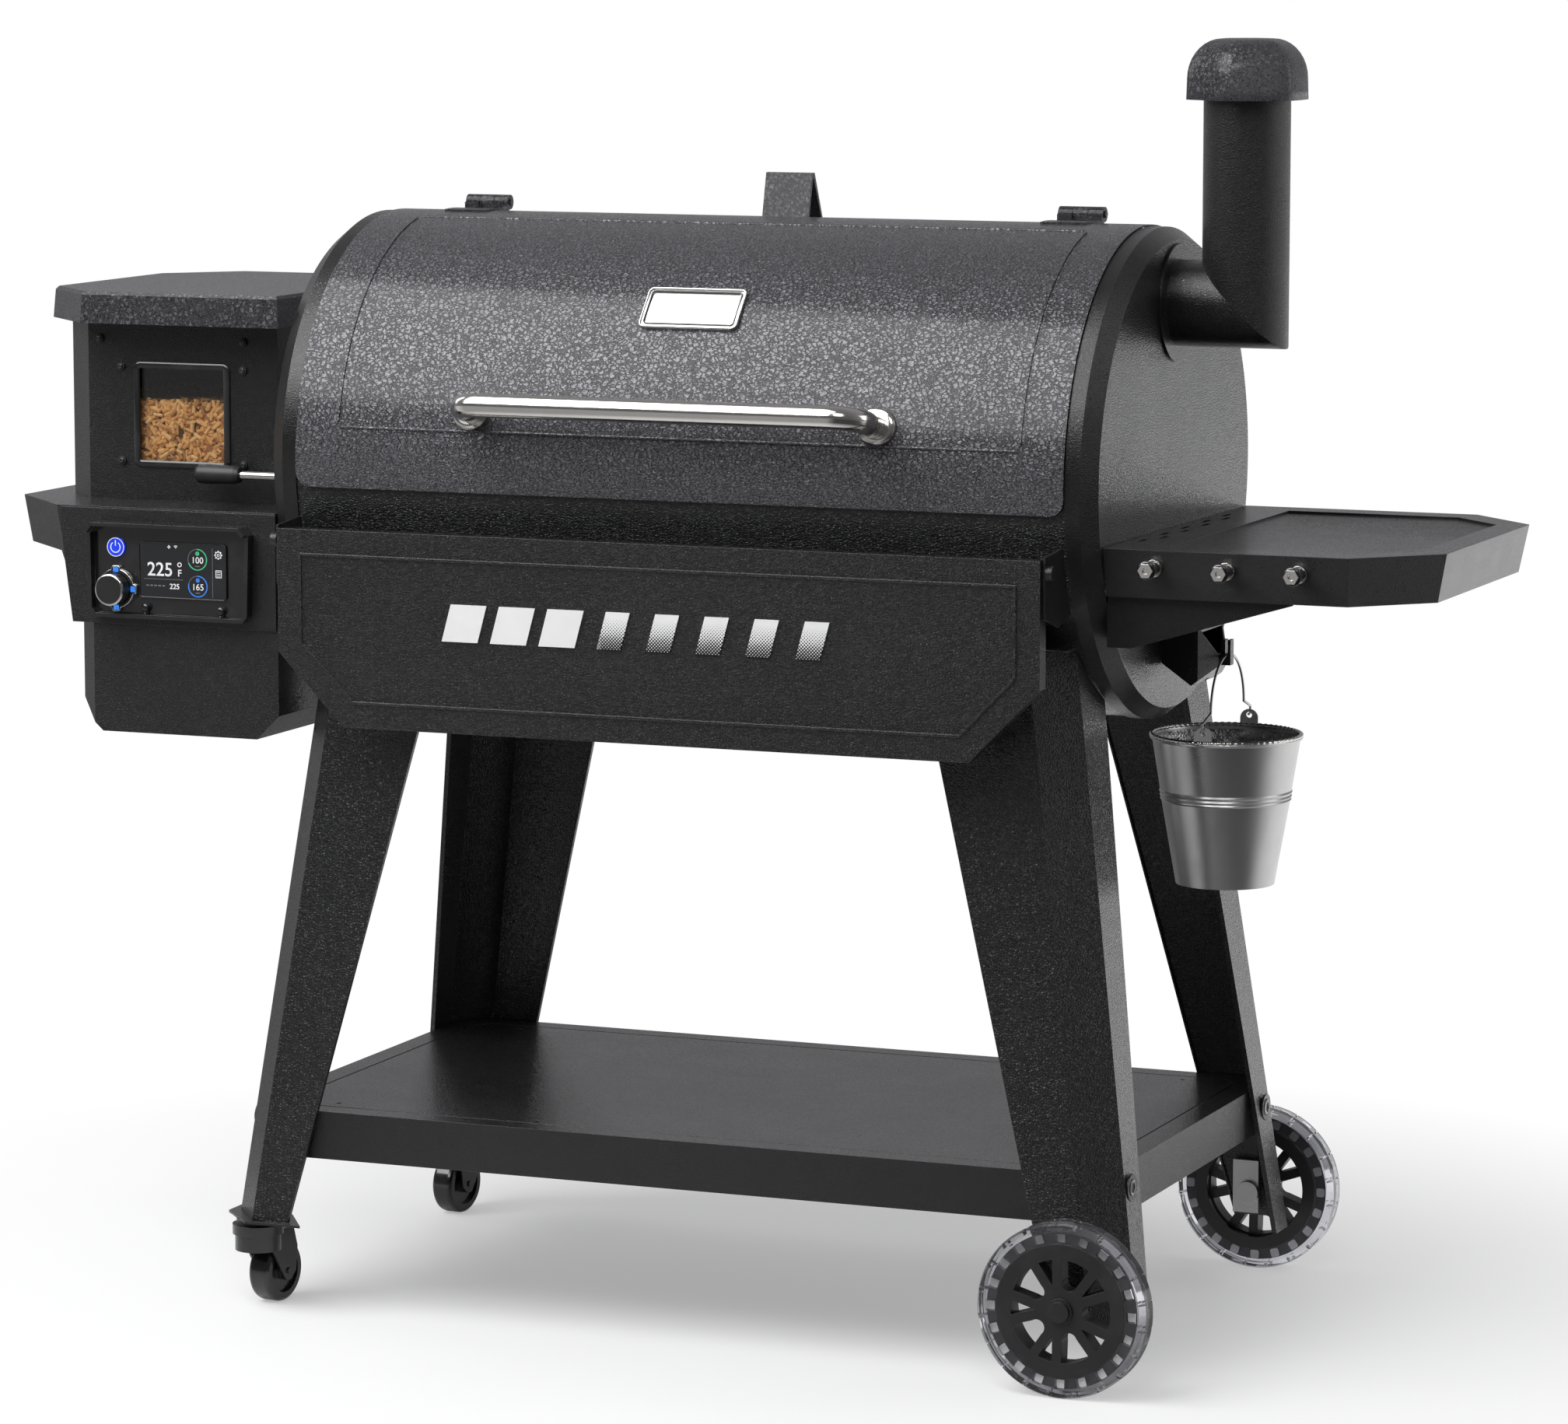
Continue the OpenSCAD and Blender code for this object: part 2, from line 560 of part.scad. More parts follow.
// ---- side shelf
function side_poly(o, f) = [[522, -262 + o], [811 - f, -262 + o], [899 - o, -174 + f],
  [899 - o, 174 - f], [811 - f, 262 - o], [522, 262 - o]];
function sunk(o) = [[587 + o, -224 + o], [800 - o * 0.4, -224 + o], [866 - o, -158 + o * 0.4],
  [866 - o, 158 - o * 0.4], [800 - o * 0.4, 224 - o], [587 + o, 224 - o]];
module slot_hole(x, y) {
  box([x - 3.5, y - 10.5, 940], [x + 3.5, y + 10.5, 970]);
  for (s = [-1, 1]) translate([x, y + s * 10.5, 940]) cylinder(r = 3.5, h = 30, $fn = 24);
}
module side_shelf() color(BLACK) difference() {
  union() {
    difference() {
      frustum(side_poly(0, 0), side_poly(11, 4), side_shelf_z - 56, side_shelf_z);
      difference() {
        frustum(side_poly(2, 1), side_poly(13, 5), side_shelf_z - 56.01, side_shelf_z - 2);
        box([500, -300, 800], [524, 300, 1000]);
      }
    }
    translate([0, 0, side_shelf_z - 5]) linear_extrude(4) polygon(sunk(0));
  }
  translate([0, 0, side_shelf_z - 3]) linear_extrude(10) polygon(sunk(2));
  for (k = [-2:2]) slot_hole(535, k * 77 - 11);
  for (k = [-2:1]) slot_hole(547, k * 77 + 27.5);
}
module side_shelf_brackets() color(BLACK) both_y() {
  under = side_shelf_z - 2 - EPS;
  xz_plate(-241.5, -238.5) polygon([[cap_face + EPS, 845], [548, 845], [740, 902], [740, under],
    [524 + EPS, under],
    [524 + EPS, 904], [cap_face + EPS, 904]]);
  box([cap_face + EPS, -241.5, 845], [cap_face + 2, -216, 904]);
}
module tool_hooks() color(STEEL) difference() {
  for (x = [582, 668, 753]) translate([x, 0, 940]) {
    y_cyl(10, -264.5, -255);
    y_cyl(5, -280, -264.4);
    difference() {
      translate([0, -279.9, 0]) rotate([90, 0, 0]) cylinder(r = 9, h = 12.1, $fn = 6);
      y_cyl(3.4, -294, -289);
    }
  }
  frustum(side_poly(-EPS, 0), side_poly(11 - EPS, 4), side_shelf_z - 56, side_shelf_z);
}

// ---- grease path
module grease_spout() color(BLACK) {
  difference() {
    hull() {
      xz_plate(-46, 46) polygon([[520.1, 846], [520.1, 804], [556, 779], [564, 785], [564, 846]]);
      xz_plate(-16, 16) polygon([[556, 779], [580, 800], [580, 810], [564, 840]]);
    }
    hull() {
      xz_plate(-44, 44) polygon([[518, 850], [518, 808], [556, 781.6], [562, 786], [562, 850]]);
      xz_plate(-14, 14) polygon([[556, 781.6], [578, 801.5], [578, 816], [562, 850]]);
    }
    translate([556, 0, 760]) cylinder(r = 7, h = 30);
  }
  // hook tab with a round seat for the bail
  difference() {
    box([579, -6, 800], [591, 6, 830]);
    translate([hook_x, 0, hook_z]) y_cyl(bail_r + RUN, -10, 10);
    box([hook_x - bail_r - RUN, -10, hook_z], [hook_x + bail_r + RUN, 10, 840]);
  }
}
module bucket() color([0.7, 0.7, 0.7]) translate([bucket_x, 0, 0]) {
  outside = [[0, 542], [58, 542], [75.5, 641], [77, 642.5], [76, 644.5], [77.6, 646.5], [76.6, 649],
    [78.2, 651.5], [77.3, 654], [86.8, bucket_top - 3], [89, bucket_top - 2.5], [90, bucket_top]];
  inside = [[89, bucket_top + 2], [86, bucket_top + 2], [85.3, bucket_top - 1], [75.8, 653],
    [74, 642], [56.5, 544], [0, 544]];
  rotate_extrude($fn = 72) polygon(concat(outside, inside));
  // ears with holes for the bail, on the inner side of the rim
  both_y() difference() {
    union() {
      translate([0, 0, 726]) y_cyl(11, ear_y, ear_y + 2);
      box([-11, ear_y, bucket_top - 1.5], [11, ear_y + 2, 726]);
    }
    translate([0, 0, 730]) y_cyl(3.6, ear_y - 4, ear_y + 6);
  }
}
module wire_link(p, q) hull() {
  translate(p) sphere(bail_r, $fn = 16);
  translate(q) sphere(bail_r, $fn = 16);
}
module bucket_bail() color(STEEL) translate([hook_x, 0, hook_z]) {
  arch = 62;
  seat = 8;                 // half length of the straight middle that lies in the hook
  foot_y = ear_y + 4.5;     // legs end just outside the ears
  bend_z = 740.5 - hook_z;
  pin_z = 731.2 - hook_z;
  y_cyl(bail_r, -seat, seat);
  both_y() {
    intersection() {
      translate([0, 0, -arch]) rotate([0, 90, 0]) rotate_extrude($fn = 72)
        translate([arch, 0]) circle(bail_r, $fn = 24);
      box([-10, seat - 1, -arch], [10, 100, 10]);
    }
    wire_link([0, arch, -arch], [-1, foot_y, bend_z]);
    wire_link([-1, foot_y, bend_z], [-1, foot_y, pin_z]);
    translate([-1, 0, pin_z]) y_cyl(bail_r, ear_y - 2, foot_y + 1);
  }
}

// ---- chimney
module tube_x(x0, x1) { difference() { x_cyl(chim_r, x0, x1); x_cyl(chim_r - 1.5, x0 - 1, x1 + 1); } }
module chimney_pipe() color(BLACK) {
  translate([chim_x, 0, chim_z]) {
    intersection() {
      tube_x(508 - chim_x, 70);
      xz_plate(-80, 80) polygon([[-150, -120], [120, -120], [-120, 120], [-150, 120]]);
    }
    intersection() {
      translate([0, 0, -70]) difference() {
        cylinder(r = chim_r, h = 320);
        translate([0, 0, -1]) cylinder(r = chim_r - 1.5, h = 330);
      }
      xz_plate(-80, 80) polygon([[120, -120], [120, 400], [-120, 400], [-120, 120]]);
    }
    translate([0, 0, 228]) difference() {
      union() { box([-chim_r + 1, -5, 0], [chim_r - 1, 5, 8]); cylinder(r = 9, h = 10); }
      translate([0, 0, -1]) cylinder(r = pin_r + RUN, h = 20);
    }
  }
  translate([0, 0, chim_z]) difference() {
    x_cyl(69, cap_face + EPS, cap_face + 3);
    x_cyl(chim_r - 1, cap_face - 2, cap_face + 5);
  }
}
// rounded hood section: straight skirt, then a quarter ellipse up to the flat crown
function hood(o) = concat([[77 - o, 1459], [77 - o, 1483]],
  [for (a = [15:15:90]) [33 + (44 - o) * cos(a), 1483 + (46 - o) * sin(a)]]);
module chimney_cap() color(GRAPHITE) translate([chim_x, 0, 0]) {
  rotate([0, 0, 30]) rotate_extrude($fn = 6) polygon(concat([[0, 1529]],
    [for (i = [7:-1:0]) hood(0)[i]], hood(2.4), [[0, 1526.6]]));
  translate([0, 0, 1425]) cylinder(r = pin_r, h = 102);
  translate([0, 0, 1500]) cylinder(r = 9, h = 27);
}

// ---- cart
// one leg's folded section at a height; every edge keeps its direction, so all faces stay flat
function leg_at(z) = let(d = 649 - z, in_x = 0.256 * d, out_x = 0.1345 * d,
  out_y = -0.0885 * d, back_y = -0.141 * d) [
  [346 + in_x, -285 + out_y], [459 + out_x, -285 + out_y],
  [499.8 + out_x, -233.4 + out_y], [499.8 + out_x, -159.1 + back_y],
  [493.8 + out_x, -159.1 + back_y], [493.8 + out_x, -161.6 + back_y],
  [497.3 + out_x, -161.6 + back_y], [497.3 + out_x, -232.53 + out_y],
  [457.8 + out_x, -282.5 + out_y], [348.5 + in_x, -282.5 + out_y],
  [348.5 + in_x, -279 + out_y], [346 + in_x, -279 + out_y]];
module leg(z0, z1) {
  low = leg_at(z0);
  top = leg_at(z1);
  for (f = [[0, 1, 8, 9], [1, 2, 7, 8], [2, 3, 6, 7], [3, 4, 5, 6], [0, 9, 10, 11]])
    loft([for (i = f) low[i]], [for (i = f) top[i]], z0, z1);
}
module legs() color(BLACK) difference() {
  union() {
    both_y() leg(70, 838);
    both_y() mirror([1, 0, 0]) leg(112, 838);
  }
  at_barrel() x_cyl(ring_r + 2 * EPS, -600, 600);
  both_y() translate([wheel_x, 0, wheel_r]) y_cyl(8, -345, -300);
  // bolt holes with flat seats for the heads
  both_y() both_x() translate([0, -bolt_y, bolt_z]) {
    x_cyl(bolt_r, 540, 570);
    x_cyl(bolt_head_r + EPS, bolt_seat - EPS, 570);
  }
}
function tray(o) = [[-510 + o * 0.4, -314 + o], [510 - o * 0.4, -314 + o], [546.5 - o, -270 + o * 0.4],
  [546.5 - o, 270 - o * 0.4],
  [510 - o * 0.4, 314 - o], [-510 + o * 0.4, 314 - o], [-546.5 + o, 270 - o * 0.4],
    [-546.5 + o, -270 + o * 0.4]];
module lower_shelf() color(BLACK) {
  difference() {
    translate([0, 0, lower_shelf_z - 58]) linear_extrude(58) polygon(tray(0));
    translate([0, 0, lower_shelf_z - 59]) linear_extrude(57) polygon(tray(2));
    translate([0, 0, lower_shelf_z - 0.8]) linear_extrude(2) difference() {
      polygon(tray(30));
      polygon(tray(32.4));
    }
    both_x() both_y() translate([448, 262, 230]) cylinder(r = 3, h = 30);
  }
  // bolts that hold the legs
  both_x() both_y() translate([0, bolt_y, bolt_z]) {
    x_cyl(bolt_r - 0.1, 546.4, bolt_seat + 0.3);
    x_cyl(bolt_head_r, bolt_seat, bolt_seat + 2.2);
  }
}
module caster_plates() color(BLACK) both_y() mirror([1, 0, 0]) {
  translate([0, 0, 108.8]) linear_extrude(3) polygon([[462, -342], [536, -342], [583, -292],
    [583, -222], [500, -286]]);
  translate([-caster_x, -caster_y, 0]) {
    translate([0, 0, 102]) cylinder(r = 26, h = 7);
    translate([0, 0, 84]) cylinder(r = 5, h = 20);
    translate([0, 0, 84]) cylinder(r = 9, h = 3);
  }
}
module at_caster(side) { translate([caster_x, side * caster_y, 0])
  rotate([0, 0, caster_yaw + (side > 0 ? 180 : 0)]) children(); }
module caster_fork(side) color(BLACK) at_caster(side) {
  difference() {
    union() {
      translate([0, 0, 90]) cylinder(r = 31, h = 11.9);
      translate([0, 0, 70]) cylinder(r = 28, h = 20.5);
      box([-20, 0, 84], [20, 46, 92]);
    }
    translate([0, 0, 60]) cylinder(r = 25, h = 27.6);
    translate([0, trail, caster_d / 2]) x_cyl(caster_d / 2 + 5, -16.8, 16.8);
    translate([0, 0, 80]) cylinder(r = 5 + RUN, h = 30);
    translate([0, 0, 70]) cylinder(r = 9.6, h = 17.7);
  }
  for (s = [-1, 1]) yz_plate(s > 0 ? 17 : -20, s > 0 ? 20 : -17)
    polygon([[-16, 92], [46, 92], [54, 66], [50, 36], [40, 27], [30, 27], [22, 38], [2, 70], [-16, 74]]);
  translate([0, trail, caster_d / 2]) x_cyl(4, -22, 22);
}
module caster_wheel(side) color([0.05, 0.05, 0.05]) at_caster(side)
  translate([0, trail, caster_d / 2]) difference() {
  rotate([0, 90, 0]) rotate_extrude($fn = 72) polygon([[4 + RUN, -15.5], [12, -15.5], [12, -10],
    [27, -10], [27, -14.5], [34, -14.5],
    [caster_d / 2 - 1, -12], [caster_d / 2, -9], [caster_d / 2, 9], [caster_d / 2 - 1, 12], [34, 14.5],
      [27, 14.5], [27, 10], [12, 10], [12, 15.5], [4 + RUN, 15.5]]);
}
module caster_fork_front() caster_fork(-1);
module caster_fork_rear() caster_fork(1);
module caster_wheel_front() caster_wheel(-1);
module caster_wheel_rear() caster_wheel(1);
module at_wheel(side) { translate([wheel_x, 0, wheel_r]) scale([1, -side, 1]) children(); }
module wheel_axles() color(STEEL) for (side = [-1, 1]) at_wheel(side) {
  y_cyl(7.9, -wheel_y - wheel_w + 2, -312);
  y_cyl(14, -318, -312);
  difference() {
    box([-20, -322, -26], [13, -318, 40]);
    y_cyl(7, -330, -300);
  }
}
module wheel_hub(side) color(BLACK) at_wheel(side) difference() {
  face = -wheel_y - wheel_w;
  union() {
    y_cyl(rim_r, face + 2, -wheel_y - 2);
    y_cyl(core_r, face + 10, -wheel_y - 10);
    y_cyl(15, face - 1, -wheel_y - 1);
    y_cyl(12, face - 5, face);
  }
  y_cyl(8 - EPS, face + 1.9, -200);
  // shallow dish on the inner side
  difference() {
    y_cyl(62, -wheel_y - 12, -wheel_y + 5);
    y_cyl(20, face - 9, -wheel_y + 9);
  }
  for (a = [0:72:288]) {
    // wide window with a round inner end, and a narrow one between two spokes
    rotate([0, a, 0]) xz_plate(face - 10, -wheel_y + 5) {
      intersection() {
        polygon([[34, -9], [62, -19], [62, 19], [34, 9]]);
        circle(60, $fn = 96);
      }
      translate([35, 0]) circle(9.2);
    }
    rotate([0, a + 36, 0]) xz_plate(face - 10, -wheel_y + 5) intersection() {
      polygon([[31, 0], [62, -9.5], [62, 9.5]]);
      circle(60, $fn = 96);
    }
  }
}
module tyre(side) color([0.55, 0.55, 0.55]) at_wheel(side) difference() {
  back = wheel_y + wheel_w;
  rotate([90, 0, 0]) rotate_extrude($fn = 96) polygon([[rim_r + EPS, wheel_y + 2], [94, wheel_y],
    [99, wheel_y + 1.6],
    [wheel_r, wheel_y + 6], [wheel_r, back - 6], [99, back - 1.6], [94, back], [rim_r + EPS, back - 2],
    [rim_r + EPS, back - 10 + EPS], [core_r + EPS, back - 10 + EPS], [core_r + EPS, wheel_y + 10 - EPS],
    [rim_r + EPS, wheel_y + 10 - EPS]]);
  for (a = [0:18:342]) rotate([0, a, 0]) {
    box([78.8, -back - 1, -5.8], [90, -back + 8, 5.8]);
    rotate([0, 9, 0]) box([95, -back - 1, -0.9], [104, -back + 11, 0.9]);
    rotate([0, 9, 0]) box([95, -wheel_y - 11, -0.9], [104, -wheel_y + 1, 0.9]);
  }
}
module wheel_hub_front() wheel_hub(-1);
module wheel_hub_rear() wheel_hub(1);
module tyre_front() tyre(-1);
module tyre_rear() tyre(1);

placed() barrel_shell();
placed() end_cap_left();
placed() end_cap_right();
placed() lid_shell();
placed() lid_badge();
placed() lid_handle();
placed() lid_hinge_leaves();
placed() barrel_hinges();
placed() lid_stop();
placed() saddles();
placed() cooking_grates();
placed() upper_rack();
placed() flame_broiler();
placed() broiler_slide();
placed() lever_rod();
placed() lever_grip();
placed() fire_pot();
placed() auger_tube();
placed() auger_screw();
placed() auger_motor();
placed() fan_housing();
placed() fan_impeller();
placed() temp_probe();
placed() hopper_deck();
placed() hopper_casing();
placed() hopper_body();
placed() hopper_bin();
placed() pellets();
placed() window_pane();
placed() window_screws();
placed() hopper_lid();
placed() hopper_hinges();
placed() control_bezel();
placed() control_display();
placed() control_knob();
placed() panel_trim();
placed() power_button();
placed() front_shelf();
placed() shelf_stripes();
placed() shelf_brackets();
placed() side_shelf();
placed() side_shelf_brackets();
placed() tool_hooks();
placed() grease_spout();
placed() bucket();
placed() bucket_bail();
placed() chimney_pipe();
placed() chimney_cap();
placed() legs();
placed() lower_shelf();
placed() caster_plates();
placed() caster_fork_front();
placed() caster_fork_rear();
placed() caster_wheel_front();
placed() caster_wheel_rear();
placed() wheel_axles();
placed() wheel_hub_front();
placed() wheel_hub_rear();
placed() tyre_front();
placed() tyre_rear();
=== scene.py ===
import json
import math
import random

import bmesh
import bpy
from mathutils import Matrix, Vector


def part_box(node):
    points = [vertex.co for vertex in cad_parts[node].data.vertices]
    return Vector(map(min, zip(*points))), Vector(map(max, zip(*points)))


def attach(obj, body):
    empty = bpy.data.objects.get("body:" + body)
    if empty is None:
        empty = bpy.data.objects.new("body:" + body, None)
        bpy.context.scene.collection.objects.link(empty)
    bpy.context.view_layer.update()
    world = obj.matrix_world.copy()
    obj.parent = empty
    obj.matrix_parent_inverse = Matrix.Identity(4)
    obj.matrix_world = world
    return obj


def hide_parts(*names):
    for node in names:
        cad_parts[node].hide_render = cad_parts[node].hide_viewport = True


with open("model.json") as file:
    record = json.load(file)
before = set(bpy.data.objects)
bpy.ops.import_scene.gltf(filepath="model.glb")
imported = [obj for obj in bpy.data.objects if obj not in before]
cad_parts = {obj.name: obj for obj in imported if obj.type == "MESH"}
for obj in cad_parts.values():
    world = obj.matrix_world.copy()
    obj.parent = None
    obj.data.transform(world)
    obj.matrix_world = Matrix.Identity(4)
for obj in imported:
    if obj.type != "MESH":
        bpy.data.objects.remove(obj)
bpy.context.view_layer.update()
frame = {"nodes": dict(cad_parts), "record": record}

MM = 0.001


def mid(node):
    """Middle of a node's box."""
    lo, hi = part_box(node)
    return Vector([(a + b) / 2 for a, b in zip(lo, hi)])


def low(node):
    return Vector(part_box(node)[0])


def high(node):
    return Vector(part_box(node)[1])


RIGHT = Vector((1, 0, 0))
BACK = Vector((0, 1, 0))
FRONT = Vector((0, -1, 0))
UP = Vector((0, 0, 1))
# middle of the hopper's front window
WINDOW = Vector((low("hopper_body").x + 175 * MM, low("window_pane").y, 1064.5 * MM))


# ---------------------------------------------------------------- node helpers
def opaque(value):
    """Adds full alpha to an RGB tuple; sockets, numbers and RGBA tuples stay as they are."""
    return (*value, 1) if isinstance(value, tuple) and len(value) == 3 else value


def shade(tint, scale, lift=0.0):
    """A tint made darker or lighter."""
    return tuple(min(1, c * scale + lift) for c in tint)


class Graph:
    """Short names for the shader nodes of one material."""

    def __init__(self, name):
        self.mat = bpy.data.materials.new(name)
        self.mat.use_nodes = True
        self.tree = self.mat.node_tree
        self.tree.nodes.clear()
        self.out = self.tree.nodes.new("ShaderNodeOutputMaterial")
        self.coord = self.tree.nodes.new("ShaderNodeTexCoord").outputs["Object"]

    def node(self, kind, settings=None, **inputs):
        n = self.tree.nodes.new(kind)
        for key, value in (settings or {}).items():
            setattr(n, key, value)
        for key, value in inputs.items():
            self.feed(n, key.replace("_", " "), value)
        return n

    def feed(self, n, key, value):
        socket = n.inputs[int(key[1:])] if key[0] == "#" else n.inputs[key]
        if isinstance(value, bpy.types.NodeSocket):
            self.tree.links.new(value, socket)
        else:
            socket.default_value = value

    def noise(self, scale, detail=2.0, rough=0.5, vector=None, distort=0.0):
        n = self.node("ShaderNodeTexNoise", Scale=scale, Detail=detail, Roughness=rough, Distortion=distort)
        self.feed(n, "Vector", vector or self.coord)
        return n.outputs["Fac"]

    def cells(self, scale, feature="F1", output="Distance", vector=None):
        n = self.node("ShaderNodeTexVoronoi", {"feature": feature}, Scale=scale)
        self.feed(n, "Vector", vector or self.coord)
        return n.outputs[output]

    def warped(self, scale, detail, amount):
        """Object coordinates pushed about by a noise."""
        push = self.node("ShaderNodeTexNoise", Scale=scale, Detail=detail)
        shifted = self.node("ShaderNodeVectorMath", {"operation": "MULTIPLY_ADD"})
        self.feed(shifted, "#0", push.outputs["Color"])
        self.feed(shifted, "#1", (amount, amount, amount))
        self.feed(shifted, "#2", self.coord)
        return shifted.outputs[0]

    def stretch(self, x, y, z):
        """Object coordinates scaled along each axis."""
        n = self.node("ShaderNodeMapping", Vector=self.coord)
        n.inputs["Scale"].default_value = (x, y, z)
        return n.outputs["Vector"]

    def ramp(self, fac, *stops):
        n = self.node("ShaderNodeValToRGB", Fac=fac)
        while len(n.color_ramp.elements) < len(stops):
            n.color_ramp.elements.new(0.5)
        for e, (at, value) in zip(n.color_ramp.elements, stops):
            e.position = at
            e.color = opaque(value)
        return n.outputs["Color"]

    def span(self, fac, lo, hi, low_in=0.0, high_in=1.0):
        """Maps low_in..high_in onto lo..hi, clamped."""
        n = self.node("ShaderNodeMapRange", Value=fac)
        for key, value in (("From Min", low_in), ("From Max", high_in), ("To Min", lo), ("To Max", hi)):
            n.inputs[key].default_value = value
        return n.outputs["Result"]

    def math(self, op, a, b=0.0):
        n = self.node("ShaderNodeMath", {"operation": op})
        self.feed(n, "#0", a)
        self.feed(n, "#1", b)
        return n.outputs[0]

    def blend(self, fac, a, b):
        n = self.node("ShaderNodeMix", {"data_type": "RGBA"})
        self.feed(n, "#0", fac)
        self.feed(n, "#6", opaque(a))
        self.feed(n, "#7", opaque(b))
        return n.outputs[2]

    def mix(self, fac, a, b):
        """Mixes two shaders."""
        n = self.node("ShaderNodeMixShader")
        for key, value in (("#0", fac), ("#1", a), ("#2", b)):
            self.feed(n, key, value)
        return n.outputs[0]

    def bump(self, height, strength, distance, normal=None):
        n = self.node("ShaderNodeBump", Height=height, Strength=strength, Distance=distance)
        if normal is not None:
            self.feed(n, "Normal", normal)
        return n.outputs["Normal"]

    def edge(self, radius):
        """Normal softened over folded edges, and a mask that is bright on them."""
        soft = self.node("ShaderNodeBevel", {"samples": 4}, Radius=radius).outputs["Normal"]
        hard = self.node("ShaderNodeNewGeometry").outputs["Normal"]
        dot = self.node("ShaderNodeVectorMath", {"operation": "DOT_PRODUCT"})
        self.feed(dot, "#0", soft)
        self.feed(dot, "#1", hard)
        return soft, self.span(dot.outputs["Value"], 1.0, 0.0, 0.72, 0.97)

    def surface(self, **inputs):
        n = self.node("ShaderNodeBsdfPrincipled")
        for key, value in inputs.items():
            self.feed(n, key.replace("_", " "), opaque(value))
        self.tree.links.new(n.outputs["BSDF"], self.out.inputs["Surface"])


# ---------------------------------------------------------------- materials
def powder_coat(name, tint, grain):
    """Black powder coat: glossy skin over a fine leather-like pebble, with a painted highlight on its edges.
    """
    g = Graph(name)
    soft, rim = g.edge(1.1 * MM)
    patch = g.noise(5, 3)
    warped = g.warped(120.0, 2.0, 0.004)
    pebble = g.span(g.cells(330, "DISTANCE_TO_EDGE", vector=warped), 0.0, 1.0, 0.02, 0.30)
    fleck = g.noise(700, 2)
    height = g.math("ADD", pebble, g.math("MULTIPLY", fleck, 0.2))
    base = g.blend(g.span(patch, 0.0, 1.0, 0.35, 0.65), shade(tint, 0.8), shade(tint, 1.2))
    # painted highlight: the coat is lightened along its edges, where rounded edges catch light
    wear_and_edge_highlight = g.blend(g.math("MULTIPLY", rim, 0.5), base, shade(tint, 4, 0.03))
    leather = g.bump(height, grain, 0.9 * MM, soft)
    skin = g.bump(height, grain * 0.22, 0.9 * MM, soft)
    rough = g.span(g.noise(14, 3), 0.30, 0.38, 0.3, 0.7)
    coat_rough = g.span(g.noise(9, 3), 0.05, 0.09, 0.3, 0.7)
    g.surface(Base_Color=wear_and_edge_highlight, Roughness=rough, Specular_IOR_Level=0.3, Normal=leather,
              Coat_Weight=0.75, Coat_Roughness=coat_rough, Coat_Normal=skin)
    return g.mat


def hammertone(name, tint, rough):
    """Graphite hammertone paint: wrinkled dimples with dark veins, a metallic sheen and fine flakes."""
    g = Graph(name)
    warped = g.warped(95.0, 3.0, 0.011)
    cell = g.cells(165, "SMOOTH_F1", vector=warped)
    vein = g.cells(165, "DISTANCE_TO_EDGE", vector=warped)
    lumps = g.noise(420, 3, 0.6)
    flake = g.cells(1400, "F1", "Color")
    spark = g.node("ShaderNodeSeparateColor", Color=flake).outputs[0]
    groove = g.span(vein, 0.0, 1.0, 0.0, 0.16)
    dimples = g.math("MULTIPLY", g.math("ADD", cell, lumps), 0.45)
    height = g.math("ADD", g.math("MULTIPLY", groove, 0.7), dimples)
    base = g.blend(g.span(lumps, 0.0, 1.0, 0.38, 0.62), shade(tint, 0.75), shade(tint, 1.6))
    base = g.blend(g.span(vein, 0.8, 0.0, 0.0, 0.1), base, shade(tint, 0.3))
    base = g.blend(g.span(spark, 0.0, 0.6, 0.86, 1.0), base, shade(tint, 3.5))
    g.surface(Base_Color=base, Metallic=0.55, Roughness=g.span(lumps, rough - 0.05, rough + 0.08, 0.3, 0.7),
              Coat_Weight=0.35, Coat_Roughness=0.16, Normal=g.bump(height, 1.0, 1.5 * MM))
    return g.mat


def bare_steel(name, tint, rough, lines, axis=(1, 40, 40)):
    """Steel with brushing lines along one axis, faint smudges and a painted highlight on its edges."""
    g = Graph(name)
    soft, rim = g.edge(0.8 * MM)
    brush = g.noise(55, 5, 0.7, vector=g.stretch(*axis))
    smear = g.noise(9, 4, 0.6)
    base = g.blend(g.span(g.noise(130, 2), 0.0, 0.12), tint, shade(tint, 0.62))
    base = g.blend(g.span(smear, 0.0, 0.3, 0.55, 0.8), base, shade(tint, 0.55))
    # painted highlight: lighter along the edges
    base = g.blend(g.math("MULTIPLY", rim, 0.3), base, shade(tint, 1.3))
    # here it holds only the smudges' wear, as roughness
    wear_and_edge_highlight = g.span(smear, rough * 0.8, rough * 1.3, 0.3, 0.7)
    level = g.math("ADD", wear_and_edge_highlight, g.math("MULTIPLY", brush, lines))
    g.surface(Base_Color=base, Metallic=1.0, Roughness=level, Normal=g.bump(brush, lines, 0.2 * MM, soft))
    return g.mat


def moulded(name, tint, rough, coat=0.0, grain=0.12):
    """Moulded or enamelled black part with a fine texture, dust in the hollows and a painted highlight on
    its edges.
    """
    g = Graph(name)
    soft, rim = g.edge(0.9 * MM)
    speck = g.noise(700, 3)
    dust = g.noise(20, 4, 0.65)
    base = g.blend(g.span(dust, 0.0, 0.6, 0.5, 0.8), tint, shade(tint, 2.2, 0.01))
    # painted highlight: lighter along the edges
    base = g.blend(g.math("MULTIPLY", rim, 0.25), base, shade(tint, 3, 0.03))
    g.surface(Base_Color=base, Roughness=g.span(dust, rough - 0.05, rough + 0.1, 0.3, 0.7), Coat_Weight=coat,
              Coat_Roughness=0.06, Normal=g.bump(speck, grain, 0.4 * MM, soft))
    return g.mat


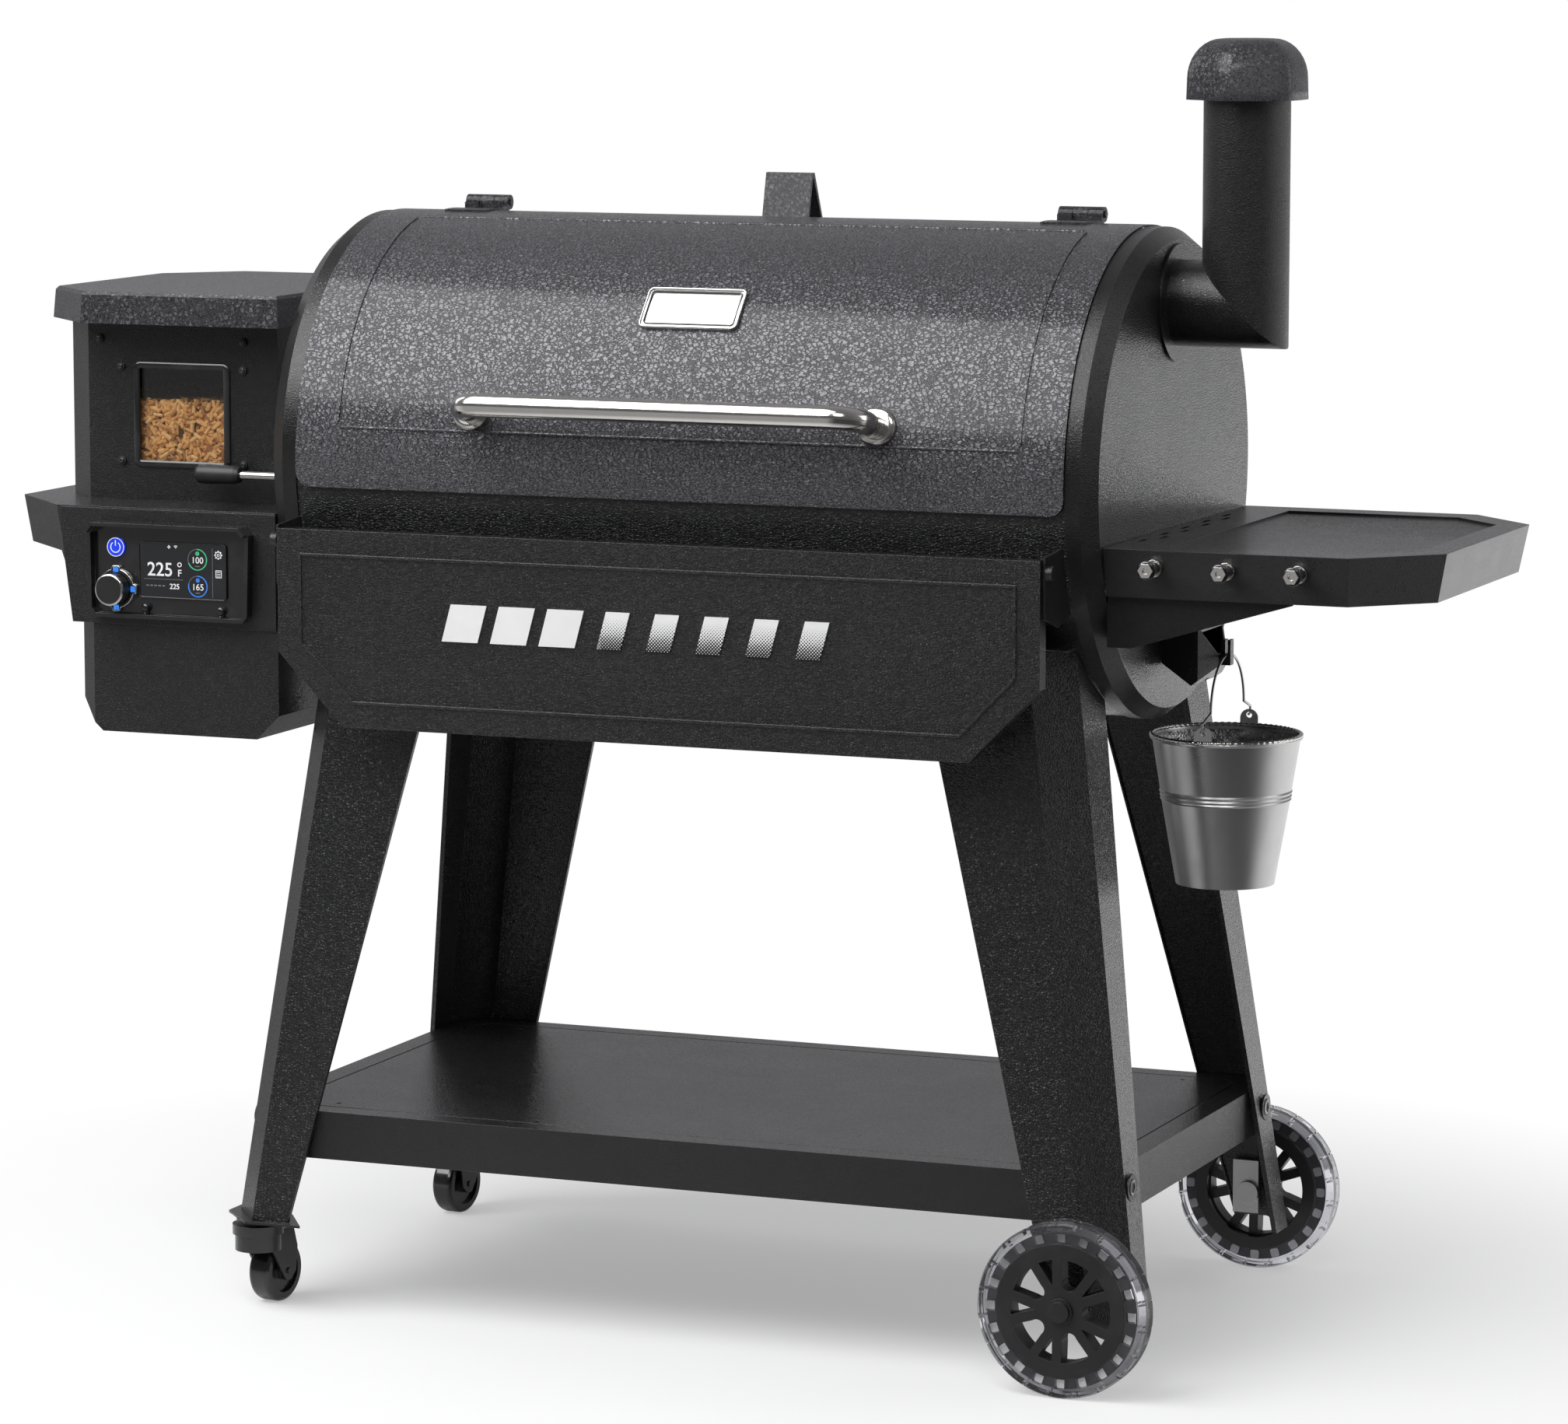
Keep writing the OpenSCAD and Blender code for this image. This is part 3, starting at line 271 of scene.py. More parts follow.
def scorched(name, tint):
    """Firebox steel: heat tints, grease runs and a dull scale."""
    g = Graph(name)
    heat = g.noise(6, 5, 0.6)
    scale = g.noise(90, 4, 0.7)
    base = g.ramp(heat, (0.3, shade(tint, 0.4)), (0.5, tint), (0.7, (0.16, 0.09, 0.05)))
    base = g.blend(g.span(scale, 0.0, 0.8, 0.5, 0.7), base, (0.02, 0.018, 0.016))
    g.surface(Base_Color=base, Metallic=0.5, Roughness=g.span(scale, 0.45, 0.8),
              Normal=g.bump(scale, 0.4, 0.6 * MM))
    return g.mat


def clear_pane(name):
    """Clear tempered pane with faint dust."""
    g = Graph(name)
    dust = g.noise(60, 4, 0.6)
    tint = g.blend(g.span(dust, 0.0, 0.25, 0.5, 0.8), (0.98, 0.99, 0.98), (0.90, 0.88, 0.84))
    clear = g.node("ShaderNodeBsdfTransparent", Color=tint).outputs[0]
    shine = g.node("ShaderNodeBsdfGlossy", Color=(1, 1, 1, 1), Roughness=0.04).outputs[0]
    facing = g.node("ShaderNodeFresnel", IOR=1.45).outputs[0]
    g.tree.links.new(g.mix(g.math("MULTIPLY", facing, 0.8), clear, shine), g.out.inputs["Surface"])
    return g.mat


def glow(name, tint, strength, base=(0.02, 0.02, 0.025)):
    """Backlit print behind a gloss face, a little uneven in brightness."""
    g = Graph(name)
    level = g.span(g.noise(220, 2), strength * 0.85, strength * 1.1, 0.35, 0.65)
    g.surface(Base_Color=base, Roughness=0.25, Emission_Color=tint, Emission_Strength=level)
    return g.mat


def pellet_wood(name):
    """Compressed sawdust: each pellet has its own tone and a fibrous grain."""
    g = Graph(name)
    tone = g.node("ShaderNodeNewGeometry").outputs["Random Per Island"]
    grain = g.noise(900, 4, 0.7)
    base = g.ramp(tone, (0.0, (0.42, 0.17, 0.05)), (0.45, (0.84, 0.42, 0.13)), (1.0, (1.0, 0.64, 0.28)))
    base = g.blend(g.span(grain, 0.0, 0.45, 0.5, 0.75), base, (0.36, 0.16, 0.05))
    g.surface(Base_Color=base, Roughness=0.6, Specular_IOR_Level=0.35, Normal=g.bump(grain, 0.4, 0.4 * MM))
    return g.mat


def pellet_gap_shade(name):
    """Painted shade between the pellets: the bulk of the fill, dark brown with a speckle, seen in the gaps
    between the loose pellets.
    """
    g = Graph(name)
    speck = g.noise(400, 4, 0.7)
    base = g.blend(g.span(speck, 0.0, 1.0, 0.35, 0.7), (0.05, 0.02, 0.008), (0.16, 0.07, 0.025))
    g.surface(Base_Color=base, Roughness=0.9, Normal=g.bump(speck, 0.5, 0.8 * MM))
    return g.mat


def tread_pocket_highlight(name):
    """Moulded pocket of the tread, painted pale as a highlight that is brightest towards the ground; the
    gradient is set in the wheel's own frame, so it turns with the wheel.
    """
    g = Graph(name)
    cloud = g.noise(90, 3)
    height = g.node("ShaderNodeSeparateXYZ", Vector=g.coord).outputs[2]
    # painted highlight: pale near the ground, dark higher up
    tone = g.span(height, 0.9, 0.22, 0.03, 0.19)
    base = g.blend(tone, (0.10, 0.10, 0.11), (0.92, 0.92, 0.94))
    g.surface(Base_Color=base, Roughness=g.span(cloud, 0.15, 0.3, 0.3, 0.7), Coat_Weight=0.5,
              Normal=g.bump(cloud, 0.1, 0.4 * MM))
    return g.mat


def urethane(name):
    """Clear grey urethane tread over a black rim."""
    g = Graph(name)
    cloud = g.noise(40, 3)
    base = g.blend(g.span(cloud, 0.0, 1.0, 0.35, 0.65), (0.62, 0.62, 0.66), (0.78, 0.78, 0.82))
    g.surface(Base_Color=base, Roughness=g.span(cloud, 0.03, 0.10, 0.3, 0.7), Transmission_Weight=0.96,
              IOR=1.30, Normal=g.bump(g.noise(160, 2), 0.06, 0.5 * MM))
    return g.mat


MATS = {
    "black_coat": powder_coat("black_coat", (0.0075, 0.0075, 0.0083), 1.0),
    "hammertone": hammertone("hammertone", (0.082, 0.080, 0.089), 0.29),
    "polished_steel": bare_steel("polished_steel", (0.80, 0.78, 0.75), 0.11, 0.06),
    "brushed_steel": bare_steel("brushed_steel", (0.62, 0.62, 0.62), 0.26, 0.12),
    "galvanised": bare_steel("galvanised", (0.54, 0.54, 0.54), 0.25, 0.10, (3, 3, 60)),
    "enamel_grate": moulded("enamel_grate", (0.02, 0.02, 0.021), 0.42, 0.2, 0.3),
    "fire_steel": scorched("fire_steel", (0.07, 0.05, 0.04)),
    "black_plastic": moulded("black_plastic", (0.014, 0.014, 0.015), 0.42),
    "gloss_black": moulded("gloss_black", (0.010, 0.010, 0.011), 0.20, 0.6, 0.05),
    "screen_glass": moulded("screen_glass", (0.004, 0.005, 0.007), 0.08, 0.9, 0.01),
    "blue_light": glow("blue_light", (0.01, 0.05, 0.85), 0.75, (0.01, 0.03, 0.3)),
    "pane_glass": clear_pane("pane_glass"),
    "wood_pellets": pellet_wood("wood_pellets"),
    "clear_tyre": urethane("clear_tyre"),
}
LIT_WHITE = glow("lit_white", (1.0, 1.0, 1.0), 0.85)
LIT_GREEN = glow("lit_green", (0.06, 0.62, 0.26), 0.8)
LIT_BLUE = glow("lit_blue", (0.04, 0.26, 0.95), 0.85)
LIT_GREY = glow("lit_grey", (0.5, 0.52, 0.56), 0.3)

SLOT_OF = {s["node"]: s["material_slot"] for s in frame["record"]["subparts"]}


# ---------------------------------------------------------------- CAD nodes
def dress_cad_nodes():
    """Gives every CAD node the material of its slot."""
    for name, obj in frame["nodes"].items():
        obj.data.materials.clear()
        obj.data.materials.append(MATS[SLOT_OF[name]])


# ---------------------------------------------------------------- mesh helpers
def new_piece(name, bm, material, body, smooth=True):
    """Turns a bmesh into a scene object that rides on a body."""
    mesh = bpy.data.meshes.new(name)
    bm.to_mesh(mesh)
    bm.free()
    for p in mesh.polygons:
        p.use_smooth = smooth
    obj = bpy.data.objects.new(name, mesh)
    bpy.context.scene.collection.objects.link(obj)
    mesh.materials.append(material)
    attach(obj, body)
    return obj


def ring_strip(bm, centre, u, v, radii, offsets, normal, start=0.0, end=math.tau, steps=48):
    """Sweeps a profile of (radius, offset) points round a centre; closed when it is a full turn."""
    full = abs(end - start - math.tau) < 1e-6
    rows = []
    for i in range(steps if full else steps + 1):
        a = start + (end - start) * i / steps
        ray = u * math.cos(a) + v * math.sin(a)
        rows.append([bm.verts.new(centre + ray * r + normal * h) for r, h in zip(radii, offsets)])
    count = len(rows)
    for i in range(count if full else count - 1):
        here, there = rows[i], rows[(i + 1) % count]
        for j in range(len(radii) - 1):
            bm.faces.new((here[j], there[j], there[j + 1], here[j + 1]))
    return rows


def turned(bm, centre, u, v, normal, profile, steps):
    """Turns a profile of (radius, offset) pairs, in millimetres, once round a centre."""
    radii = [r * MM for r, offset in profile]
    offsets = [offset * MM for r, offset in profile]
    return ring_strip(bm, centre, u, v, radii, offsets, normal, steps=steps)


def skin(bm, rows):
    """Joins each closed loop of vertices to the next one."""
    for a, b in zip(rows, rows[1:]):
        for i in range(len(a)):
            j = (i + 1) % len(a)
            bm.faces.new((a[i], a[j], b[j], b[i]))


def plate(bm, outline, origin, u, v, normal, thick):
    """Flat closed plate from a 2-D outline."""
    top = [bm.verts.new(origin + u * x + v * y + normal * thick) for x, y in outline]
    base = [bm.verts.new(origin + u * x + v * y) for x, y in outline]
    bm.faces.new(top)
    bm.faces.new(base[::-1])
    skin(bm, [base, top])


# ---------------------------------------------------------------- studio
def room():
    """White to the camera, and to the object a dim room that is brighter behind it."""
    world = bpy.data.worlds.new("studio")
    bpy.context.scene.world = world
    world.use_nodes = True
    t = world.node_tree
    t.nodes.clear()
    split = t.nodes.new("ShaderNodeSeparateXYZ")
    t.links.new(t.nodes.new("ShaderNodeTexCoord").outputs["Generated"], split.inputs[0])
    lift = t.nodes.new("ShaderNodeMapRange")
    for key, value in (("From Min", -0.6), ("From Max", 0.8), ("To Min", 0.10), ("To Max", 0.30)):
        lift.inputs[key].default_value = value
    t.links.new(split.outputs["Y"], lift.inputs["Value"])
    dim = t.nodes.new("ShaderNodeBackground")
    dim.inputs["Color"].default_value = (1.0, 1.0, 1.03, 1)
    t.links.new(lift.outputs["Result"], dim.inputs["Strength"])
    white = t.nodes.new("ShaderNodeBackground")
    white.inputs["Color"].default_value = (1, 1, 1, 1)
    mix = t.nodes.new("ShaderNodeMixShader")
    t.links.new(t.nodes.new("ShaderNodeLightPath").outputs["Is Camera Ray"], mix.inputs[0])
    t.links.new(dim.outputs[0], mix.inputs[1])
    t.links.new(white.outputs[0], mix.inputs[2])
    out = t.nodes.new("ShaderNodeOutputWorld")
    t.links.new(mix.outputs[0], out.inputs["Surface"])


def pale_floor():
    """Bright floor that fades to white; its far part mirrors as a dim, uneven field."""
    bm = bmesh.new()
    bmesh.ops.create_grid(bm, x_segments=8, y_segments=8, size=16)
    mesh = bpy.data.meshes.new("floor")
    bm.to_mesh(mesh)
    bm.free()
    floor = bpy.data.objects.new("floor", mesh)
    bpy.context.scene.collection.objects.link(floor)
    g = Graph("pale_floor")
    base = g.node("ShaderNodeBsdfPrincipled", Roughness=0.5)
    g.feed(base, "Base Color", g.blend(g.noise(3, 3), (0.90, 0.90, 0.90), (0.93, 0.93, 0.93)))
    base.inputs["Specular IOR Level"].default_value = 0.2
    length = g.node("ShaderNodeVectorMath", {"operation": "LENGTH"})
    g.feed(length, "#0", g.coord)
    far = length.outputs["Value"]
    # the mirrored field is brightest behind the object and to its rear right
    direction = g.node("ShaderNodeVectorMath", {"operation": "NORMALIZE"})
    g.feed(direction, "#0", g.coord)
    way = g.node("ShaderNodeSeparateXYZ", Vector=direction.outputs[0])
    across = g.math("MULTIPLY", way.outputs[0], way.outputs[1])
    level = g.span(way.outputs[1], 0.34, 1.12, -0.5, 0.5)
    camera_ray = g.node("ShaderNodeLightPath").outputs["Is Camera Ray"]
    seen = g.node("ShaderNodeEmission", Color=(1, 1, 1, 1), Strength=1.0)
    mirrored = g.node("ShaderNodeEmission", Color=(1, 1, 1, 1))
    g.feed(mirrored, "Strength", g.math("MULTIPLY", level, g.span(across, 0.16, 1.0, -0.22, 0.12)))
    beyond = g.mix(camera_ray, mirrored.outputs[0], seen.outputs[0])
    reflected = g.math("SUBTRACT", 1.0, camera_ray)
    near_mirror = g.math("MULTIPLY", reflected, g.span(far, 0.0, 1.0, 1.2, 2.0))
    fade = g.math("MAXIMUM", g.span(far, 0.36, 1.0, 0.55, 1.5), near_mirror)
    g.tree.links.new(g.mix(fade, base.outputs[0], beyond), g.out.inputs["Surface"])
    mesh.materials.append(g.mat)


def softbox(name, place, aim, width, height, power):
    """Rectangular area light at a place, turned towards a point."""
    light = bpy.data.lights.new(name, "AREA")
    light.shape = "RECTANGLE"
    light.size = width
    light.size_y = height
    light.energy = power
    obj = bpy.data.objects.new(name, light)
    obj.location = place
    obj.rotation_euler = (Vector(aim) - Vector(place)).to_track_quat("-Z", "Y").to_euler()
    bpy.context.scene.collection.objects.link(obj)


def studio():
    """Room, floor, soft boxes and the camera."""
    room()
    pale_floor()
    softbox("key", (-1.5, -2.1, 3.6), (-0.1, -0.25, 1.15), 3.8, 3.2, 215)
    softbox("front", (1.9, -4.2, 4.4), (0, 0, 0.9), 2.0, 1.2, 45)
    softbox("right", (4.4, 1.2, 2.6), (0.2, 0, 0.8), 2.4, 2.4, 25)
    softbox("left", (-4.2, 0.8, 3.0), (-0.3, 0, 0.9), 1.2, 2.4, 15)

    look_down, look_left = 7.671, 22.191
    camera = bpy.data.cameras.new("camera")
    camera.sensor_width = 36.0
    camera.lens = 139.63
    camera.clip_end = 100
    holder = bpy.data.objects.new("camera", camera)
    holder.location = (2.7814, -6.734, 1.6952)
    holder.rotation_euler = (math.radians(90 - look_down), 0, math.radians(look_left))
    bpy.context.scene.collection.objects.link(holder)
    bpy.context.scene.camera = holder
    bpy.context.scene.view_settings.view_transform = "Standard"


# ---------------------------------------------------------------- control panel
def lettering(name, text, height, centre, material, body, thick=0.25 * MM, bold=0.0):
    """Plain digits facing the cook, centred on a point."""
    digit_height = 0.73     # of the built-in font, at size 1
    curve = bpy.data.curves.new(name, "FONT")
    curve.body = text
    curve.size = height / digit_height
    curve.extrude = thick
    curve.offset = bold
    curve.align_x = "CENTER"
    curve.resolution_u = 6
    holder = bpy.data.objects.new(name + "_curve", curve)
    bpy.context.scene.collection.objects.link(holder)
    bpy.context.view_layer.update()
    graph = bpy.context.evaluated_depsgraph_get()
    mesh = bpy.data.meshes.new_from_object(holder.evaluated_get(graph))
    bpy.data.objects.remove(holder)
    mesh.transform(Matrix.Translation(centre - UP * height / 2) @ Matrix.Rotation(math.pi / 2, 4, "X"))
    mesh.materials.clear()
    mesh.materials.append(material)
    obj = bpy.data.objects.new(name, mesh)
    bpy.context.scene.collection.objects.link(obj)
    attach(obj, body)


def flat_ring(bm, centre, outer, inner, thick, start=0.0, end=math.tau, steps=64):
    """Thin band facing the cook; angles run anticlockwise from the cook's right."""
    radii = [inner, outer, outer, inner, inner]
    offsets = [thick, thick, 0, 0, thick]
    ring_strip(bm, centre, RIGHT, UP, radii, offsets, FRONT, start, end, steps)
    bmesh.ops.remove_doubles(bm, verts=bm.verts, dist=1e-6)


def bar(bm, centre, wide, tall, thick=0.3 * MM, turn=0.0):
    """Small flat bar facing the cook."""
    ca, sa = math.cos(turn), math.sin(turn)
    corners = [(-wide / 2, -tall / 2), (wide / 2, -tall / 2), (wide / 2, tall / 2), (-wide / 2, tall / 2)]
    outline = [(x * ca - z * sa, x * sa + z * ca) for x, z in corners]
    plate(bm, outline, centre, RIGHT, UP, FRONT, thick)


def screen_contents():
    """Temperatures, rings and small icons on the display; the small words are left out."""
    face = mid("control_display")
    face.y = low("control_display").y - 0.02 * MM

    def at(u, v):
        return face + RIGHT * u * MM + UP * v * MM

    slot, body = "screen_glass", "frame"
    lettering("screen_big_number", "225", 17 * MM, at(-31, 1.5), LIT_WHITE, body, bold=0.0002)
    lettering("screen_unit", "F", 8.5 * MM, at(-4.5, -2.5), LIT_WHITE, body, bold=0.0001)
    lettering("screen_target", "225", 6.6 * MM, at(-11.5, -19), LIT_WHITE, body, bold=0.0001)
    lettering("screen_upper_probe", "100", 8 * MM, at(19.7, 14), LIT_WHITE, body)
    lettering("screen_lower_probe", "165", 8 * MM, at(20, -18.5), LIT_WHITE, body)

    white = bmesh.new()
    print_thick = 0.3 * MM
    flat_ring(white, at(-4.5, 7.3), 2.9 * MM, 1.9 * MM, print_thick, steps=24)
    # gear
    gear_u, gear_v, teeth, tooth_r = 48, 21, 8, 4.7
    flat_ring(white, at(gear_u, gear_v), 4.2 * MM, 3.4 * MM, print_thick, steps=32)
    flat_ring(white, at(gear_u, gear_v), 1.8 * MM, 1.1 * MM, print_thick, steps=20)
    for k in range(teeth):
        a = k * math.tau / teeth
        tooth = at(gear_u + tooth_r * math.cos(a), gear_v + tooth_r * math.sin(a))
        bar(white, tooth, 1.2 * MM, 1.6 * MM, turn=a)
    # menu page
    page_u, page_v = 48.2, -2
    for side in (-1, 1):
        bar(white, at(page_u + side * 3.6, page_v), 0.9 * MM, 8.6 * MM)
        bar(white, at(page_u, page_v + side * 4.2), 8.0 * MM, 0.9 * MM)
    for k in range(3):
        bar(white, at(page_u, -4.2 + 2.2 * k), 4.6 * MM, 0.7 * MM)
    # four petals and three waves
    petal_r = 1.3
    for k in range(4):
        a = k * math.tau / 4
        petal = at(-18.6 + petal_r * math.cos(a), 28.4 + petal_r * math.sin(a))
        bar(white, petal, petal_r * MM, petal_r * MM, turn=math.pi / 4)
    wave_from, wave_to = math.radians(50), math.radians(130)
    for r in (1.2, 2.5, 3.8):
        flat_ring(white, at(-9.5, 26.6), r * MM, (r - 0.7) * MM, print_thick, wave_from, wave_to, 10)
    new_piece("screen_icons", white, LIT_WHITE, body, smooth=False)

    grey = bmesh.new()
    lines = ((-26.5, -11, 53, 0.5), (40, -1, 0.4, 60), (19.7, 6.3, 6, 1.1), (20, -26, 6, 1.1))
    for u, v, wide, tall in lines:
        bar(grey, at(u, v), wide * MM, tall * MM)
    for k in range(5):
        bar(grey, at(-48 + k * 5.4, -19), 3.6 * MM, 1.5 * MM)
    gauges = (("green", 19.7, 14.4, LIT_GREEN, 200), ("blue", 20, -18, LIT_BLUE, 165))
    for name, u, v, tint, last in gauges:
        flat_ring(grey, at(u, v), 12.9 * MM, 12.3 * MM, 0.15 * MM)
    new_piece("screen_lines", grey, LIT_GREY, body, smooth=False)

    top, lit_thick = math.radians(92), 0.35 * MM
    for name, u, v, tint, last in gauges:
        ring = bmesh.new()
        flat_ring(ring, at(u, v), 13.1 * MM, 11.8 * MM, lit_thick, math.radians(last - 360), top, 60)
        flat_ring(ring, at(u, v + 7.4), 2.6 * MM, 0.6 * MM, lit_thick, steps=20)
        new_piece("screen_ring_" + name, ring, tint, body, smooth=False)

    edge = bmesh.new()
    rim_spot = face + BACK * 1.0 * MM
    rounded_frame(edge, rim_spot, 118 * MM, 68 * MM, 115.5 * MM, 65.5 * MM, 5 * MM, 2.4 * MM)
    new_piece("screen_surround", edge, MATS["gloss_black"], body)


def rounded_outline(wide, tall, radius, steps=6):
    """Corner points of a rounded rectangle, anticlockwise."""
    points = []
    for cx, cz, first in ((1, 1, 0), (-1, 1, 90), (-1, -1, 180), (1, -1, 270)):
        for k in range(steps + 1):
            a = math.radians(first + 90 * k / steps)
            x = cx * (wide / 2 - radius) + radius * math.cos(a)
            points.append((x, cz * (tall / 2 - radius) + radius * math.sin(a)))
    return points


def rounded_frame(bm, centre, wide, tall, in_wide, in_tall, radius, thick):
    """Raised rounded frame facing the cook, with a soft inner slope."""
    in_radius = radius - (wide - in_wide) / 2
    outer = rounded_outline(wide, tall, radius)
    crest = rounded_outline(wide - 0.8 * MM, tall - 0.8 * MM, radius - 0.4 * MM)
    slope = rounded_outline(in_wide + 1.2 * MM, in_tall + 1.2 * MM, max(0.6 * MM, in_radius))
    inner = rounded_outline(in_wide, in_tall, max(0.5 * MM, in_radius))
    section = ((outer, 0), (outer, thick * 0.7), (crest, thick),
               (slope, thick), (inner, thick * 0.35), (inner, 0))
    rows = []
    for outline, lift in section:
        rows.append([bm.verts.new(centre + RIGHT * x + UP * z + FRONT * lift) for x, z in outline])
    skin(bm, rows + rows[:1])


def knob_and_button():
    """Silver rim and lit lugs round the knob, the power symbol and the two probe jacks."""
    knob = mid("control_knob")
    knob.y = low("control_knob").y
    rim = bmesh.new()
    rim_profile = ((17.0, 0.2), (17.8, 0.1), (19.2, -0.9), (19.4, -2.0), (19.4, -3.6))
    turned(rim, knob, RIGHT, UP, FRONT, rim_profile, 72)
    new_piece("knob_rim", rim, MATS["polished_steel"], "knob")
    face = bmesh.new()
    face_profile = ((0.01, -0.5), (6, -0.45), (12, -0.2), (16, 0.12), (17.1, 0.15))
    turned(face, knob, RIGHT, UP, FRONT, face_profile, 48)
    new_piece("knob_face", face, MATS["black_plastic"], "knob")

    collar = Vector((knob.x, low("panel_trim").y, knob.z))
    lugs = (0, 90, 180, 270)
    base_r, lug_r = 23.3, 27.2
    lug_half, lug_foot = 10, 15     # half angles of a lug's flat top and of its foot

    def reach(deg):
        gap = min(abs((deg - c + 180) % 360 - 180) for c in lugs)
        if gap > lug_foot:
            return base_r
        if gap < lug_half:
            return lug_r
        return base_r + (lug_r - base_r) * (lug_foot - gap) / (lug_foot - lug_half)

    outline = bmesh.new()
    steps = 144
    section = ((-0.9, -0.6), (-0.8, 0.5), (0.0, 0.8), (0.8, 0.4), (0.9, -5.4))
    rows = []
    for i in range(steps):
        deg = i * 360 / steps
        ray = RIGHT * math.cos(math.radians(deg)) + UP * math.sin(math.radians(deg))
        r = reach(deg) * MM
        rows.append([outline.verts.new(collar + ray * (r + out * MM) + FRONT * lift * MM)
                     for out, lift in section])
    for i in range(steps):
        a, b = rows[i], rows[(i + 1) % steps]
        for j in range(len(section) - 1):
            outline.faces.new((a[j], b[j], b[j + 1], a[j + 1]))
    new_piece("knob_collar_rim", outline, MATS["polished_steel"], "frame")
    lights = bmesh.new()
    for c in lugs:
        corners = [(20.2, c - 9.5), (20.2, c + 9.5), (26.4, c + 8.6), (26.4, c - 8.6)]
        points = [(r * MM * math.cos(math.radians(d)), r * MM * math.sin(math.radians(d)))
                  for r, d in corners]
        plate(lights, points, collar, RIGHT, UP, FRONT, 0.35 * MM)
    new_piece("knob_lights", lights, LIT_BLUE, "frame", smooth=False)

    button = mid("power_button")
    button.y = low("power_button").y - 0.02 * MM
    mark = bmesh.new()
    flat_ring(mark, button, 11.5 * MM, 10.7 * MM, 0.25 * MM)
    flat_ring(mark, button, 6.9 * MM, 5.8 * MM, 0.25 * MM, math.radians(125), math.radians(415), 48)
    bar(mark, button + UP * 5.0 * MM, 1.2 * MM, 6.8 * MM)
    new_piece("power_symbol", mark, LIT_WHITE, "power_button", smooth=False)

    jacks = bmesh.new()
    jack_profile = ((0.01, 2.2), (2.6, 2.0), (4.4, 1.3), (5.2, 0.2), (5.3, -1.5))
    jack_z = 840
    for x in (-686.5, -584.5):
        spot = Vector((x * MM, low("panel_trim").y, jack_z * MM))
        turned(jacks, spot, RIGHT, UP, FRONT, jack_profile, 28)
        bar(jacks, spot - UP * 8.0 * MM + BACK * 0.5 * MM, 2.2 * MM, 6.0 * MM, 1.2 * MM)
    new_piece("probe_jack_covers", jacks, MATS["gloss_black"], "frame")


# ---------------------------------------------------------------- hopper
def pellet(bm, centre, axis, length, radius, sides=7):
    """One pellet with slightly rounded, broken ends."""
    side = axis.orthogonal().normalized()
    other = axis.cross(side)
    rows = []
    for along, scale in ((-0.5, 0.55), (-0.44, 1.0), (0.44, 1.0), (0.5, 0.55)):
        rows.append([bm.verts.new(centre + axis * along * length
                                  + (side * math.cos(t) + other * math.sin(t)) * radius * scale)
                     for t in (math.tau * k / sides for k in range(sides))])
    skin(bm, rows)
    bm.faces.new(rows[0][::-1])
    bm.faces.new(rows[-1])


def pellet_fill():
    """Loose pellets behind the front and side windows and over the top of the fill."""
    rng = random.Random(7)
    corner = 60 * MM        # size of the bin's cut-off corners
    lo, hi = low("pellets"), high("pellets")
    bm = bmesh.new()

    def scatter(count, spot, normal):
        for _ in range(count):
            axis = Vector((rng.uniform(-1, 1), rng.uniform(-1, 1), rng.uniform(-1, 1)))
            axis = (axis - normal * axis.dot(normal) * rng.uniform(0.5, 0.95)).normalized()
            length = rng.uniform(9, 15) * MM
            radius = rng.uniform(2.1, 2.7) * MM
            centre = spot()
            reach_out = abs(axis.dot(normal)) * length / 2 + radius
            pellet(bm, centre - normal * reach_out, axis, length, radius)

    left, right = WINDOW.x - 68 * MM, WINDOW.x + 68 * MM
    bottom, top = WINDOW.z - 66 * MM, hi.z - 3 * MM
    front, side = lo.y - 1.0 * MM, hi.x - 0.3 * MM

    def in_front():
        x = rng.uniform(left, right)
        y = front + rng.uniform(0, 7) * MM
        return Vector((x, y, rng.uniform(bottom, top)))

    def at_side():
        x = side - rng.uniform(0, 6) * MM
        y = rng.uniform(-0.154, -0.104)
        return Vector((x, y, rng.uniform(1.0, top)))

    def on_top():
        while True:
            x = rng.uniform(lo.x + 12 * MM, hi.x - 8 * MM)
            y = rng.uniform(lo.y + 8 * MM, hi.y - 8 * MM)
            if x - lo.x + min(y - lo.y, hi.y - y) > corner:
                return Vector((x, y, hi.z - rng.uniform(0, 6) * MM))

    scatter(860, in_front, FRONT)
    scatter(190, at_side, RIGHT)
    scatter(2000, on_top, UP)
    fill = new_piece("pellet_fill", bm, MATS["wood_pellets"], "frame", smooth=False)

    # bulk of the fill: straight down to the waist, then a funnel to the auger
    core = bmesh.new()
    inset = 6 * MM
    slant_x, slant_y = lo.x + 55 * MM, 0.115
    outline = [(slant_x, lo.y + inset), (hi.x - inset, lo.y + inset), (hi.x - inset, hi.y - inset),
               (slant_x, hi.y - inset), (lo.x + inset, slant_y), (lo.x + inset, -slant_y)]
    waist_z, foot_z, funnel = 0.975, 0.852, 0.16
    throat = Vector((-0.715, 0.04, waist_z))
    upper = [core.verts.new((x, y, hi.z - 5 * MM)) for x, y in outline]
    waist = [core.verts.new((x, y, waist_z)) for x, y in outline]
    foot = [core.verts.new(throat + (v.co - throat) * funnel) for v in waist]
    for v in foot:
        v.co.z = foot_z
    core.faces.new(upper)
    skin(core, [waist, upper])
    skin(core, [foot, waist])
    core.faces.new(foot[::-1])
    bmesh.ops.subdivide_edges(core, edges=core.edges[:], cuts=5, use_grid_fill=True)
    for v in core.verts:
        v.co += Vector((rng.uniform(-1, 1), rng.uniform(-1, 1), rng.uniform(-1, 0))) * 1.2 * MM
    # the bulk is painted dark as the shade deep among the pellets
    new_piece("pellet_bulk", core, pellet_gap_shade("pellet_gap_shade"), "frame")
    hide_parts("pellets")


